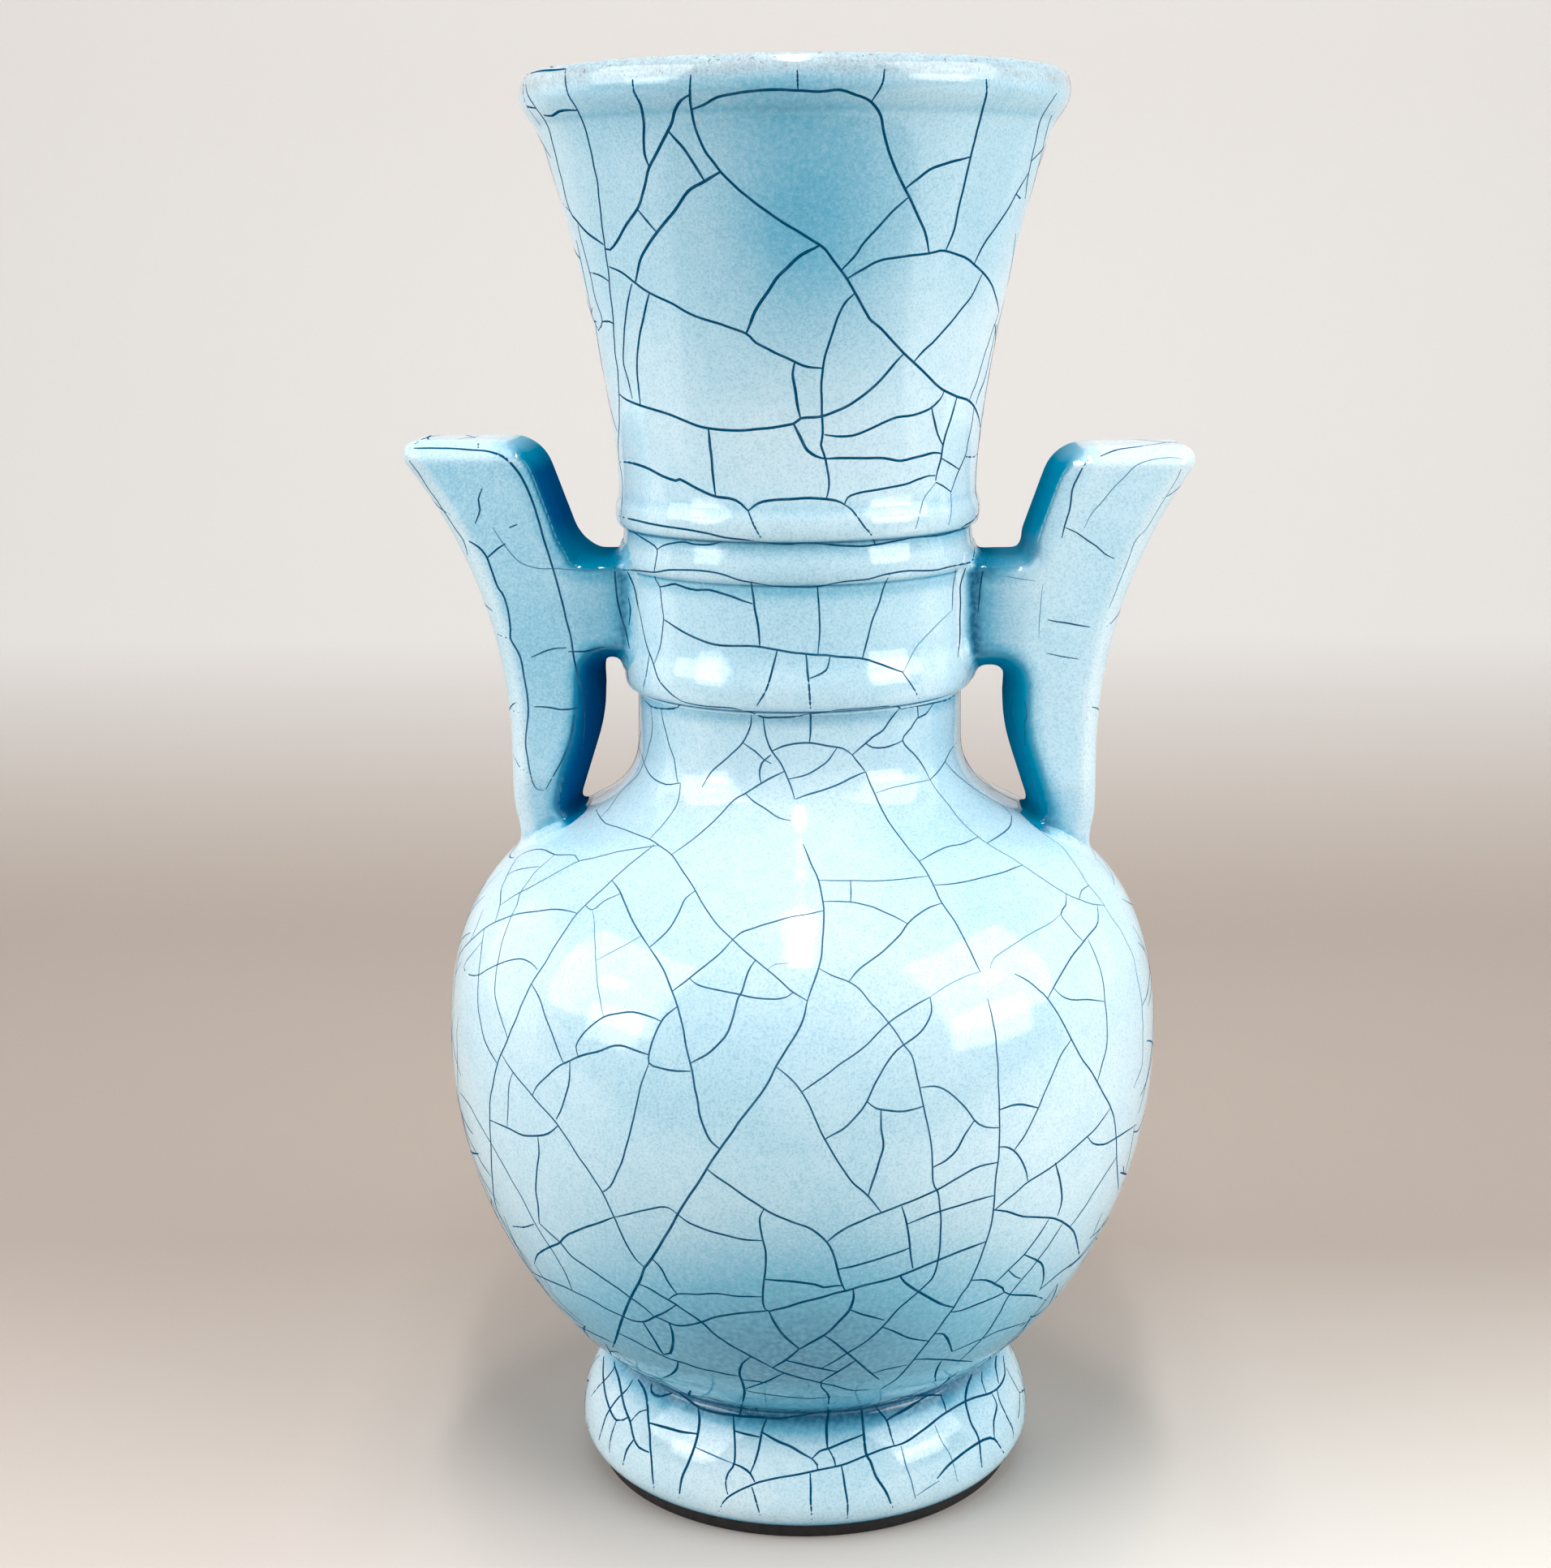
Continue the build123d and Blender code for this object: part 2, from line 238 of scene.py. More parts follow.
def glaze_finish(name, gloss, bare_colour):
    """Glaze with a share of the full shine, and the colour that it wears to."""
    finish = Finish(name)
    clouds = finish.ramp(finish.noise(PER_CLOUD, 3.0), 0.35, 0.68)
    colour = finish.mix(clouds, PALE_BLUE, SKY_BLUE)
    mottle = finish.ramp(finish.noise(PER_MOTTLE, 3.0), 0.42, 0.75, 0.0, 0.13)
    colour = finish.mix(mottle, colour, CLEAR_TEAL)
    thin = finish.attribute("thin")
    patchy = finish.ramp(finish.noise(PER_MOTTLE, 4.0, 0.65), 0.3, 0.6, 0.45, 0.8)
    bare = finish.math("MULTIPLY", thin, patchy)
    colour = finish.mix(bare, colour, bare_colour)
    uneven = finish.ramp(finish.noise(PER_GRAIN / 2, 2.0, 0.6), 0.3, 0.7, 0.85, 1.15)
    # pool_and_shade holds glaze pooled in hollows, and also painted shade: low on the belly, under the lip,
    # in patches on the front and on the handles.
    pool_and_shade = finish.math("MULTIPLY", finish.attribute("pool_and_shade"), uneven)
    pool_and_shade = finish.math("ADD", pool_and_shade, finish.ramp(clouds, 0.0, 1.0, -0.05, 0.05))
    colour = finish.mix(finish.ramp(pool_and_shade, 0.0, 0.5), colour, CLEAR_TEAL)
    colour = finish.mix(finish.ramp(pool_and_shade, 0.5, 1.0), colour, DEEP_TEAL)
    grain = finish.noise(PER_GRAIN, 2.0, 0.7)
    colour = finish.mix(finish.ramp(grain, 0.5, 0.34, 0.0, 0.5), colour, GRAIN_DARK, "MULTIPLY")
    bubbles = finish.math("MULTIPLY", finish.ramp(grain, 0.5, 0.66, 0.0, 0.22), finish.ramp(pool_and_shade, 0.8, 0.3))
    colour = finish.mix(bubbles, colour, GRAIN_PALE)
    # Painted shade, over some real pooling: the handle faces beside the neck turn turquoise, then deep blue.
    neck_shade_and_pool = finish.attribute("neck_shade_and_pool")
    colour = finish.mix(finish.ramp(neck_shade_and_pool, 0.0, 0.5), colour, SHADE_TURQUOISE)
    colour = finish.mix(finish.ramp(neck_shade_and_pool, 0.5, 1.0), colour, SHADE_NIGHT_BLUE)
    speck = finish.ramp(finish.noise(PER_SPECK, 1.0), 0.66, 0.73)
    edge_speck = finish.math("MULTIPLY", speck, finish.ramp(thin, 0.7, 1.0, 0.0, 0.8))
    colour = finish.mix(edge_speck, colour, IRON_SPECK)
    finish.feed(colour, finish.shader["Base Color"])
    rough = finish.ramp(finish.noise(PER_MOTTLE, 2.0), 0.3, 0.7, 0.07, 0.13)
    rough = finish.math("ADD", rough, finish.math("MULTIPLY", bare, 0.06))
    finish.feed(rough, finish.shader["Roughness"])
    finish.feed(GLAZE_IOR, finish.shader["IOR"])
    finish.feed(gloss, finish.shader["Specular IOR Level"])
    finish.bump(finish.noise(PER_MOTTLE / 2, 2.0), 0.12, RIPPLE)
    return finish.material


GLAZE = glaze_finish("crackle_glaze", POT_GLOSS, LIP_GREY)
HANDLE_GLAZE = glaze_finish("handle_crackle_glaze", HANDLE_GLOSS, CHALK)
SHADE_GLAZE = glaze_finish("deep_crackle_glaze", SHADE_GLOSS, CHALK)
print("glaze:", len(GLAZE.node_tree.nodes), "nodes")

# %% [markdown]
# ### Crack stain, bare clay and slip
# The cracks hold a dark teal stain that is worked into the glass, so it has no shine of its own. The tread
# under the foot was wiped clean of glaze, so the clay there is bare and has burnt nearly black. The slip in
# the joints is a paler grey clay, and it hardly shows.

# %% Stain and clay
STAIN_DARK = srgb(0, 73, 107)
STAIN_FAINT = srgb(92, 152, 184)
BURNT_CLAY = srgb(17, 16, 20)
BURNT_CLAY_WARM = srgb(42, 35, 33)
SLIP_CLAY = srgb(112, 124, 130)
SLIP_CLAY_DARK = srgb(78, 88, 94)
STAIN_ROUGH = 0.4
TREAD_ROUGH = 0.7
SLIP_ROUGH = 0.85
CLAY_GRIT = 0.3 * MM


def stain_finish():
    """The stain in the cracks, paler where a crack is faint."""
    finish = Finish("crack_stain")
    patch = finish.ramp(finish.noise(PER_MOTTLE, 2.0), 0.3, 0.7, -0.15, 0.15)
    faint = finish.math("ADD", finish.attribute("faint"), patch)
    colour = finish.mix(finish.ramp(faint, 0.0, 1.0), STAIN_DARK, STAIN_FAINT)
    finish.feed(colour, finish.shader["Base Color"])
    finish.feed(STAIN_ROUGH, finish.shader["Roughness"])
    finish.feed(0.0, finish.shader["Specular IOR Level"])
    return finish.material


def clay_finish(name, dark, pale, rough):
    """Unglazed clay, patchy between two tones."""
    finish = Finish(name)
    patch = finish.ramp(finish.noise(PER_MOTTLE, 4.0, 0.6), 0.4, 0.75)
    colour = finish.mix(patch, dark, pale)
    finish.feed(colour, finish.shader["Base Color"])
    finish.feed(rough, finish.shader["Roughness"])
    finish.bump(finish.noise(PER_SPECK, 3.0), 0.5, CLAY_GRIT)
    return finish.material


STAIN = stain_finish()
BARE_CLAY = clay_finish("burnt_bare_clay", BURNT_CLAY, BURNT_CLAY_WARM, TREAD_ROUGH)
SLIP = clay_finish("joint_slip", SLIP_CLAY_DARK, SLIP_CLAY, SLIP_ROUGH)
print("stain and clay ready")

# %% [markdown]
# ## The turned line
# A thrown pot is known by one line: radius against height. The line is given as short Bezier runs in
# millimetres, from the edge of the glaze at the foot, over the belly, the neck and the lip, and down the
# inside to the floor. It is the line of the solids, with two touches that belong to the glaze: a small roll
# on the lower edge of the drum, and a slimmer roll at the foot. Each run belongs to a section of the pot.

# %% Runs of the line
OUTSIDE_RUNS = [
    ("foot_ring", [(38.8, 2.4), (40.2, 2.4), (42.0, 4.6), (42.0, 6.8)]),
    ("foot_ring", [(42.0, 6.8), (42.0, 12.4), (39.5, 17.5), (35.0, 21.0)]),
    ("foot_ring", [(35.0, 21.0), (35.0, 21.8)]),
    ("lower_belly", [(35.0, 21.8), (47.0, 29.2), (64.0, 52.2), (64.0, 82.0)]),
    ("lower_belly", [(64.0, 82.0), (64.0, 82.8)]),
    ("upper_belly", [(64.0, 82.8), (64.0, 127.9), (28.8, 117.0), (28.8, 136.4)]),
    ("upper_belly", [(28.8, 136.4), (28.8, 145.8)]),
    ("neck_drum", [(28.8, 145.8), (29.7, 145.8)]),
    ("neck_drum", [(29.7, 145.8), (31.1, 145.8), (31.1, 148.6)]),
    ("neck_drum", [(31.1, 148.6), (31.1, 152.4), (30.0, 152.4), (30.0, 156.6)]),
    ("neck_drum", [(30.0, 156.6), (30.0, 161.8), (29.9, 161.8), (29.9, 167.1)]),
    ("neck_collar", [(29.9, 167.1), (30.0, 167.1)]),
    ("neck_collar", [(30.0, 167.1), (30.9, 167.1), (30.9, 169.5)]),
    ("neck_collar", [(30.9, 169.5), (30.9, 171.9), (30.5, 171.9), (30.5, 174.3)]),
    ("trumpet_mouth", [(30.5, 174.3), (31.1, 174.3)]),
    ("trumpet_mouth", [(31.1, 174.3), (32.0, 174.3), (32.0, 176.9)]),
    ("trumpet_mouth", [(32.0, 176.9), (32.0, 178.7), (31.3, 178.7), (31.3, 180.5)]),
    ("trumpet_mouth", [(31.3, 180.5), (31.3, 196.5), (39.3, 230.1), (44.1, 242.0)]),
    ("trumpet_mouth", [(44.1, 242.0), (46.6, 243.433), (46.6, 246.3)]),
    ("trumpet_mouth", [(46.6, 246.3), (46.6, 250.0), (44.0, 250.0)]),
    ("trumpet_mouth", [(44.0, 250.0), (40.35, 250.0), (40.35, 246.4)]),
    ("trumpet_mouth", [(40.35, 246.4), (34.3, 230.1), (24.2, 196.5), (24.2, 180.5)]),
    ("trumpet_mouth", [(24.2, 180.5), (24.2, 176.8)]),
]
INSIDE_RUNS = [
    ("neck_collar", [(24.2, 176.8), (24.2, 169.6)]),
    ("neck_drum", [(24.2, 169.6), (24.2, 148.3)]),
    ("upper_belly", [(24.2, 148.3), (24.2, 133.7)]),
    ("upper_belly", [(24.2, 133.7), (24.2, 114.3), (58.6, 122.5), (58.6, 85.3)]),
    ("lower_belly", [(58.6, 85.3), (58.6, 82.0)]),
    ("lower_belly", [(58.6, 82.0), (58.6, 52.2), (47.0, 29.3), (29.6, 29.3)]),
    ("lower_belly", [(29.6, 29.3), (0.0, 29.3)]),
]
FINE_STEP = 0.15


def bezier(points, t):
    """A point of a Bezier run of any degree, by repeated halving of the way."""
    while len(points) > 1:
        points = [a.lerp(b, t) for a, b in zip(points, points[1:])]
    return points[0]


def sample_runs(runs):
    """Fine points along the runs, each with the section that it belongs to."""
    line = []
    for section, corners in runs:
        corners = [Vector(corner) for corner in corners]
        length = sum((b - a).length for a, b in zip(corners, corners[1:]))
        steps = max(2, int(length / FINE_STEP))
        line += [(bezier(corners, i / steps), section) for i in range(steps)]
    line.append((Vector(runs[-1][1][-1]), runs[-1][0]))
    return line


line = sample_runs(OUTSIDE_RUNS)
inside_line = sample_runs(INSIDE_RUNS)
print("points on the line:", len(line), "outside and", len(inside_line), "inside")

# %% [markdown]
# ### Glaze softens the line
# Melted glass rounds every corner: it fills hollows and flows off edges. Averaging the line over half a
# millimetre does both, and under the lip, where the glaze hangs, over a little more. The way that each point
# moves says what lies there: one that moved outwards lies in a hollow (`pool_and_shade`), and one that moved inwards
# lies on an edge (`thin`).

# %% Soften the line and measure the glaze
GLAZE_FILL = 0.5
LIP_FILL = 1.8
LIP_FILL_HEIGHT = 241.5
LIP_FILL_REACH = 3.5
POOL_FULL = 0.32
THIN_FULL = 0.60
EDGE_SPREAD = 0.8
MOUND_REACH = 3


def clamped(value):
    """A share, held between nothing and the whole."""
    return min(1.0, max(0.0, value))


def mound(away, spread):
    """The height of a soft mound at a distance from its middle."""
    return math.exp(-0.5 * (away / spread) ** 2)


def softened(points, spread):
    """The points averaged along the line, under a mound of the given spread in millimetres."""
    reach = int(MOUND_REACH * spread / FINE_STEP)
    shares = [mound(k * FINE_STEP, spread) for k in range(-reach, reach + 1)]
    last = len(points) - 1
    soft = []
    for i in range(len(points)):
        near = min(i, last - i, reach)
        total = Vector((0.0, 0.0))
        weight = 0.0
        for k in range(-near, near + 1):
            total += points[i + k] * shares[k + reach]
            weight += shares[k + reach]
        soft.append(total / weight)
    return soft


def outward(points, i):
    """The outward normal of the line at a point, with the pot on the left of its travel."""
    along = points[min(i + 1, len(points) - 1)] - points[max(i - 1, 0)]
    return Vector((along.y, -along.x)).normalized()


raw = [point for point, section in line]
sections = [section for point, section in line]
crest = max(range(len(raw)), key=lambda i: raw[i].y)
soft = softened(raw, GLAZE_FILL)
for i, point in enumerate(softened(raw, LIP_FILL)):
    if i < crest:
        soft[i] = soft[i].lerp(point, mound(raw[i].y - LIP_FILL_HEIGHT, LIP_FILL_REACH))
wide = softened(raw, EDGE_SPREAD)
moved = [(wide[i] - raw[i]).dot(outward(soft, i)) for i in range(len(raw))]
pool_and_shade = [clamped(move / POOL_FULL) for move in moved]
thin = [clamped(-move / THIN_FULL) for move in moved]
print("deepest fill in mm:", round(max(moved), 3), "most worn edge:", round(-min(moved), 3))

# %% [markdown]
# ### Broad pools and painted shade
# Some glaze lies deep or thin for other reasons. It gathers in the groove above the foot, under the three
# ledges of the neck and in a roll at the edge of the foot, and drained off the crest of the lip. The broad
# deep band low on the belly and the one under the lip are partly glaze that ran there and partly painted
# shade, where the wall faces down. Each deep place is a height, a spread and a depth on the outside of the
# pot.

# %% Broad pools, painted shade and bare crests
DEEP_AND_SHADED_PLACES = [
    (22.0, 2.2, 0.95),
    # Partly run glaze, partly painted shade: the broad band low on the belly.
    (24.0, 24.0, 0.46),
    (2.4, 1.0, 0.90),
    # Partly hanging glaze, partly painted shade: under the flare of the lip.
    (231.0, 14.0, 0.12),
    (139.0, 5.0, 0.10),
    (144.6, 1.0, 0.35),
    (166.0, 1.0, 0.30),
    (173.4, 0.8, 0.35),
]
BROAD = 10.0
CREST_HEIGHT = 247.4
CREST_SPREAD = 2.0
FOOT_TOP = 21.0
lip = max(range(len(soft)), key=lambda i: soft[i].y)
for i, point in enumerate(soft):
    if i <= lip:
        for height, spread, depth in DEEP_AND_SHADED_PLACES:
            if spread < BROAD or point.y > FOOT_TOP:
                pool_and_shade[i] = max(pool_and_shade[i], depth * mound(point.y - height, spread))
    rise = clamped((point.y - CREST_HEIGHT + CREST_SPREAD) / CREST_SPREAD)
    thin[i] = max(thin[i], rise)
    pool_and_shade[i] *= 1 - rise
print("lip crest at", [round(v, 2) for v in soft[lip]])

# %% [markdown]
# ## Sections of the pot
# Each section is closed: its glazed outside, the stepped joint above, its inside and the stepped joint below.
# The section under a joint carries a thin skin of glaze over the edge of the slip, so that no joint shows on
# the outside. The line is thinned first: points stay close where it bends and lie further apart elsewhere.

# %% Closed outlines of the sections
JOINTS = {
    "foot_ring": (21.0, 32.25),
    "lower_belly": (82.0, 61.3),
    "upper_belly": (145.0, 26.5),
    "neck_drum": (166.3, 27.05),
    "neck_collar": (173.5, 27.35),
}
SECTIONS = [*JOINTS, "trumpet_mouth"]
SLIP_DEPTH = 0.8
TONGUE = 2.5
SKIN = 0.15
LONGEST_STEP = 1.6
SHARPEST_TURN = math.radians(3.5)
TREAD_TOP = 2.4
FOOT_INSIDE_LOW = (30.852, TREAD_TOP)
FOOT_INSIDE_HIGH = 29.55
FLOOR_UNDER = 24.3
FLOOR_EDGE = 29.6


def thinned(indices, points):
    """The points that the shape needs: where the line has turned, or run far enough."""
    kept = [indices[0]]
    for i, after in zip(indices[1:], indices[2:]):
        run = points[i] - points[kept[-1]]
        ahead = points[after] - points[i]
        if run.length > LONGEST_STEP or run.angle(ahead, 0.0) > SHARPEST_TURN:
            kept.append(i)
    return kept + [indices[-1]]


def section_indices(name, tags):
    """The points of one section, with the first point of the next one to close the gap."""
    own = [i for i, tag in enumerate(tags) if tag == name]
    return own + ([own[-1] + 1] if own[-1] + 1 < len(tags) else [])


def stepped_edge(name, outer):
    """The upper edge of a section, from its skin over the slip to the top of its tongue."""
    height, step = JOINTS[name]
    skin = outer - SKIN
    return [(skin, height + SLIP_DEPTH), (skin, height), (step, height), (step, height + TONGUE)]


def joint_below(name):
    """The rebated lower edge of the section that sits over the named one, from inside to outside."""
    height, step = JOINTS[name]
    seat = height + SLIP_DEPTH
    return [(step + SLIP_DEPTH, seat + TONGUE), (step + SLIP_DEPTH, seat)]


inside_raw = [point for point, tag in inside_line]
inside_tags = [tag for point, tag in inside_line]


def section_outline(name):
    """A closed outline of one section: points of radius, height, pool and thin."""
    kept = thinned(section_indices(name, sections), soft)
    outline = [(soft[i].x, soft[i].y, pool_and_shade[i], thin[i]) for i in kept]
    plain = []
    if name in JOINTS:
        plain += stepped_edge(name, outline[-1][0])
        tongue = JOINTS[name][0] + TONGUE
    if name == "foot_ring":
        plain += [(FOOT_INSIDE_HIGH, tongue), FOOT_INSIDE_LOW]
    elif name in JOINTS:
        inner = thinned(section_indices(name, inside_tags), inside_raw)
        skin = inside_raw[inner[0]].x + SKIN
        plain += [(skin, tongue), (skin, tongue + SLIP_DEPTH)]
        plain += [tuple(inside_raw[i]) for i in inner]
    if name == "lower_belly":
        height, step = JOINTS["foot_ring"]
        plain += [(0.0, FLOOR_UNDER), (FLOOR_EDGE, FLOOR_UNDER), (step + SLIP_DEPTH, FLOOR_UNDER),
                  (step + SLIP_DEPTH, height + SLIP_DEPTH)]
    elif name != "foot_ring":
        plain += joint_below(SECTIONS[SECTIONS.index(name) - 1])
    outline += [(radius, height, 0.0, 0.0) for radius, height in plain]
    return outline + outline[:1]


for name in SECTIONS:
    print(name, "outline:", len(section_outline(name)), "points")

# %% [markdown]
# ### One wheel for all the sections
# Turning is a rule, so it is a Geometry Nodes tree: a flat grid has one row per point of the outline and one
# column per step round the axis, and each grid point is moved to its radius, angle and height. A slow noise
# pulls the wall in by up to a tenth of a millimetre, as a hand on the wheel leaves it. Merging closes the
# seam and the middle of the floor.

# %% The wheel as a tree of nodes
WHEEL_STEPS = 240
HAND_WOBBLE = 0.10 * MM
WOBBLE_PER_METRE = 28.0
WHEEL_SEED = 7.0
MERGE_GAP = 0.001 * MM


class Nodes(NodeTree):
    """A Geometry Nodes tree with named inputs, which ends in real geometry of one material."""

    def __init__(self, name, inputs):
        super().__init__(bpy.data.node_groups.new(name, "GeometryNodeTree"))
        face = self.tree.interface
        face.new_socket("Geometry", in_out="INPUT", socket_type="NodeSocketGeometry")
        self.sockets = {}
        for label, kind in inputs.items():
            made = face.new_socket(label, in_out="INPUT", socket_type=kind)
            self.sockets[label] = made.identifier
        face.new_socket("Geometry", in_out="OUTPUT", socket_type="NodeSocketGeometry")
        self.start = self.add("NodeGroupInput")
        self.end = self.add("NodeGroupOutput")

    def given(self, label):
        return self.start.outputs[label]

    def named(self, name, kind="FLOAT"):
        made = self.add("GeometryNodeInputNamedAttribute", {"Name": name}, data_type=kind)
        return made.outputs["Attribute"]

    def whole(self, operation, first, second):
        made = self.add("FunctionNodeIntegerMath", {0: first, 1: second}, operation=operation)
        return made.outputs["Value"]

    def close(self, geometry):
        """Real geometry with smooth faces and the given material, as the tree's result."""
        smooth = self.add("GeometryNodeSetShadeSmooth", {"Geometry": geometry}).outputs["Geometry"]
        real = self.add("GeometryNodeRealizeInstances", {"Geometry": smooth}).outputs["Geometry"]
        coat = self.add("GeometryNodeSetMaterial", {"Geometry": real, "Material": self.given("Material")})
        self.feed(coat.outputs["Geometry"], self.end.inputs["Geometry"])


def wheel_tree():
    """The tree that turns a closed outline round the axis."""
    wheel = Nodes("potters_wheel", {
        "Steps": "NodeSocketInt", "Wobble": "NodeSocketFloat", "Wobbles per metre": "NodeSocketFloat",
        "Seed": "NodeSocketFloat", "Material": "NodeSocketMaterial"})
    outline = wheel.given("Geometry")
    rows = wheel.add("GeometryNodeAttributeDomainSize", {"Geometry": outline}).outputs["Point Count"]
    columns = wheel.whole("ADD", wheel.given("Steps"), 1)
    grid = wheel.add("GeometryNodeMeshGrid", {"Vertices X": rows, "Vertices Y": columns}).outputs["Mesh"]
    index = wheel.add("GeometryNodeInputIndex").outputs["Index"]
    row = wheel.whole("DIVIDE_FLOOR", index, columns)
    column = wheel.whole("MODULO", index, columns)

    def from_outline(value, kind):
        inputs = {"Geometry": outline, "Value": value, "Index": row}
        made = wheel.add("GeometryNodeSampleIndex", inputs, data_type=kind, domain="POINT")
        return made.outputs["Value"]

    place = from_outline(wheel.add("GeometryNodeInputPosition").outputs["Position"], "FLOAT_VECTOR")
    part = wheel.add("ShaderNodeSeparateXYZ", {"Vector": place})
    share = wheel.math("DIVIDE", column, wheel.given("Steps"))
    angle = wheel.math("MULTIPLY", share, 2 * math.pi)
    cosine = wheel.math("COSINE", angle, 0.0)
    sine = wheel.math("SINE", angle, 0.0)

    def spun(radius):
        east = wheel.math("MULTIPLY", radius, cosine)
        north = wheel.math("MULTIPLY", radius, sine)
        made = wheel.add("ShaderNodeCombineXYZ", {"X": east, "Y": north, "Z": part.outputs["Z"]})
        return made.outputs["Vector"]

    wave = wheel.add("ShaderNodeTexNoise", {
        "Vector": spun(part.outputs["X"]), "W": wheel.given("Seed"),
        "Scale": wheel.given("Wobbles per metre"), "Detail": 1.0}, noise_dimensions="4D")
    pull = wheel.math("MULTIPLY", wave.outputs["Fac"], wheel.given("Wobble"))
    radius = wheel.math("MAXIMUM", wheel.math("SUBTRACT", part.outputs["X"], pull), 0.0)
    spin = wheel.add("GeometryNodeSetPosition", {"Geometry": grid, "Position": spun(radius)})
    for name in ("pool_and_shade", "thin"):
        value = from_outline(wheel.named(name), "FLOAT")
        inputs = {"Geometry": spin.outputs["Geometry"], "Name": name, "Value": value}
        spin = wheel.add("GeometryNodeStoreNamedAttribute", inputs, domain="POINT")
    closed = wheel.add("GeometryNodeMergeByDistance", {
        "Geometry": spin.outputs["Geometry"], "Distance": MERGE_GAP})
    wheel.close(closed.outputs["Geometry"])
    return wheel


WHEEL = wheel_tree()
print("wheel:", len(WHEEL.tree.nodes), "nodes")

# %% [markdown]
# ### From a tree to a plain mesh
# The helpers that run a tree are the same for every piece: put the points in a mesh with their attributes,
# set the inputs by their identifiers, take the evaluated result as a plain mesh, and turn its faces outward.

# %% Run a tree and keep a plain mesh
CREASE = math.radians(38)


def chain_mesh(name, chains, attributes):
    """A mesh of open chains of points, with one value per point for each named attribute."""
    mesh = bpy.data.meshes.new(name)
    points = [point for chain in chains for point in chain]
    edges = []
    start = 0
    for chain in chains:
        edges += [(start + i, start + i + 1) for i in range(len(chain) - 1)]
        start += len(chain)
    mesh.from_pydata(points, edges, [])
    for label, (kind, values) in attributes.items():
        made = mesh.attributes.new(label, kind, "POINT")
        for item, value in zip(made.data, values):
            if kind == "FLOAT":
                item.value = value
            else:
                item.vector = value
    return mesh


def settled(rough):
    """The mesh that an object's modifiers make of it; the object itself goes."""
    graph = bpy.context.evaluated_depsgraph_get()
    result = bpy.data.meshes.new_from_object(rough.evaluated_get(graph))
    bpy.data.objects.remove(rough)
    return result


def grown(name, mesh, nodes, values):
    """The plain mesh object that a tree makes from a mesh."""
    seed_object = placed(name + "_seed", mesh)
    modifier = seed_object.modifiers.new("nodes", "NODES")
    modifier.node_group = nodes.tree
    for label, value in values.items():
        modifier[nodes.sockets[label]] = value
    return placed(name, settled(seed_object))


def faced_outward(piece):
    """Turns every face of a closed piece outward, and keeps real corners crisp."""
    shape = bmesh.new()
    shape.from_mesh(piece.data)
    loose = [edge for edge in shape.edges if edge.is_wire]
    bmesh.ops.delete(shape, geom=loose, context="EDGES")
    bmesh.ops.recalc_face_normals(shape, faces=shape.faces)
    open_edges = sum(1 for edge in shape.edges if not edge.is_manifold)
    shape.to_mesh(piece.data)
    shape.free()
    piece.data.set_sharp_from_angle(angle=CREASE)
    return open_edges


def turned_piece(name, outline, material, wobble=HAND_WOBBLE):
    """A closed outline turned on the wheel."""
    points = [(radius * MM, 0.0, height * MM) for radius, height, deep, bare in outline]
    attributes = {
        "pool_and_shade": ("FLOAT", [deep for radius, height, deep, bare in outline]),
        "thin": ("FLOAT", [bare for radius, height, deep, bare in outline]),
    }
    mesh = chain_mesh(name + "_outline", [points], attributes)
    values = {"Steps": WHEEL_STEPS, "Wobble": wobble, "Wobbles per metre": WOBBLE_PER_METRE,
              "Seed": WHEEL_SEED, "Material": material}
    piece = grown(name, mesh, WHEEL, values)
    open_edges = faced_outward(piece)
    print(name, len(piece.data.polygons), "faces,", open_edges, "open edges")
    return piece


def dress(piece, slot, *nodes):
    """Rides a piece on the vase and hides the solids that it stands for."""
    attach(piece, "root")
    if nodes:
        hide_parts(*nodes)


print("tree helpers ready")

# %% [markdown]
# ### Sections, slip and tread
# Now the six sections are turned, and then the slip in the five joints, which lies a skin's depth behind the
# surface. The tread is turned too: a narrow ring with worn edges, a little wider than the solid one.

# %% Turn the sections, the slip and the tread
turned_sections = {}
for name in SECTIONS:
    piece = turned_piece("glazed_" + name, section_outline(name), GLAZE)
    dress(piece, "glaze", name)
    turned_sections[name] = piece

SLIP_NAMES = ["foot_slip", "belly_slip", "drum_slip", "collar_slip", "mouth_slip"]
SLIP_BACK = 0.15
SLIP_INWARD = 1.5
TREAD_RING = [(31.4, 0.0), (38.3, 0.0), (38.6, 0.08), (38.75, 0.3), (38.8, 2.0), (38.8, TREAD_TOP),
              (30.86, TREAD_TOP), (30.95, 0.4), (31.1, 0.12)]


def bare_ring(points):
    """A closed outline without glaze."""
    ring = [(radius, height, 0.0, 0.0) for radius, height in points]
    return ring + ring[:1]


for (name, (height, step)), slip_name in zip(JOINTS.items(), SLIP_NAMES):
    outer = soft[section_indices(name, sections)[-1]].x - SKIN - SLIP_BACK
    inner = step - SLIP_INWARD
    seat = height + SLIP_DEPTH
    bed = [(outer, height), (outer, seat), (step + SLIP_DEPTH, seat),
           (step + SLIP_DEPTH, seat + TONGUE), (inner, seat + TONGUE),
           (inner, height + TONGUE), (step, height + TONGUE), (step, height)]
    dress(turned_piece("bed_of_" + slip_name, bare_ring(bed), SLIP, 0.0), "slip", slip_name)
dress(turned_piece("bare_foot_tread", bare_ring(TREAD_RING), BARE_CLAY, 0.0), "bare_clay", "foot_tread")

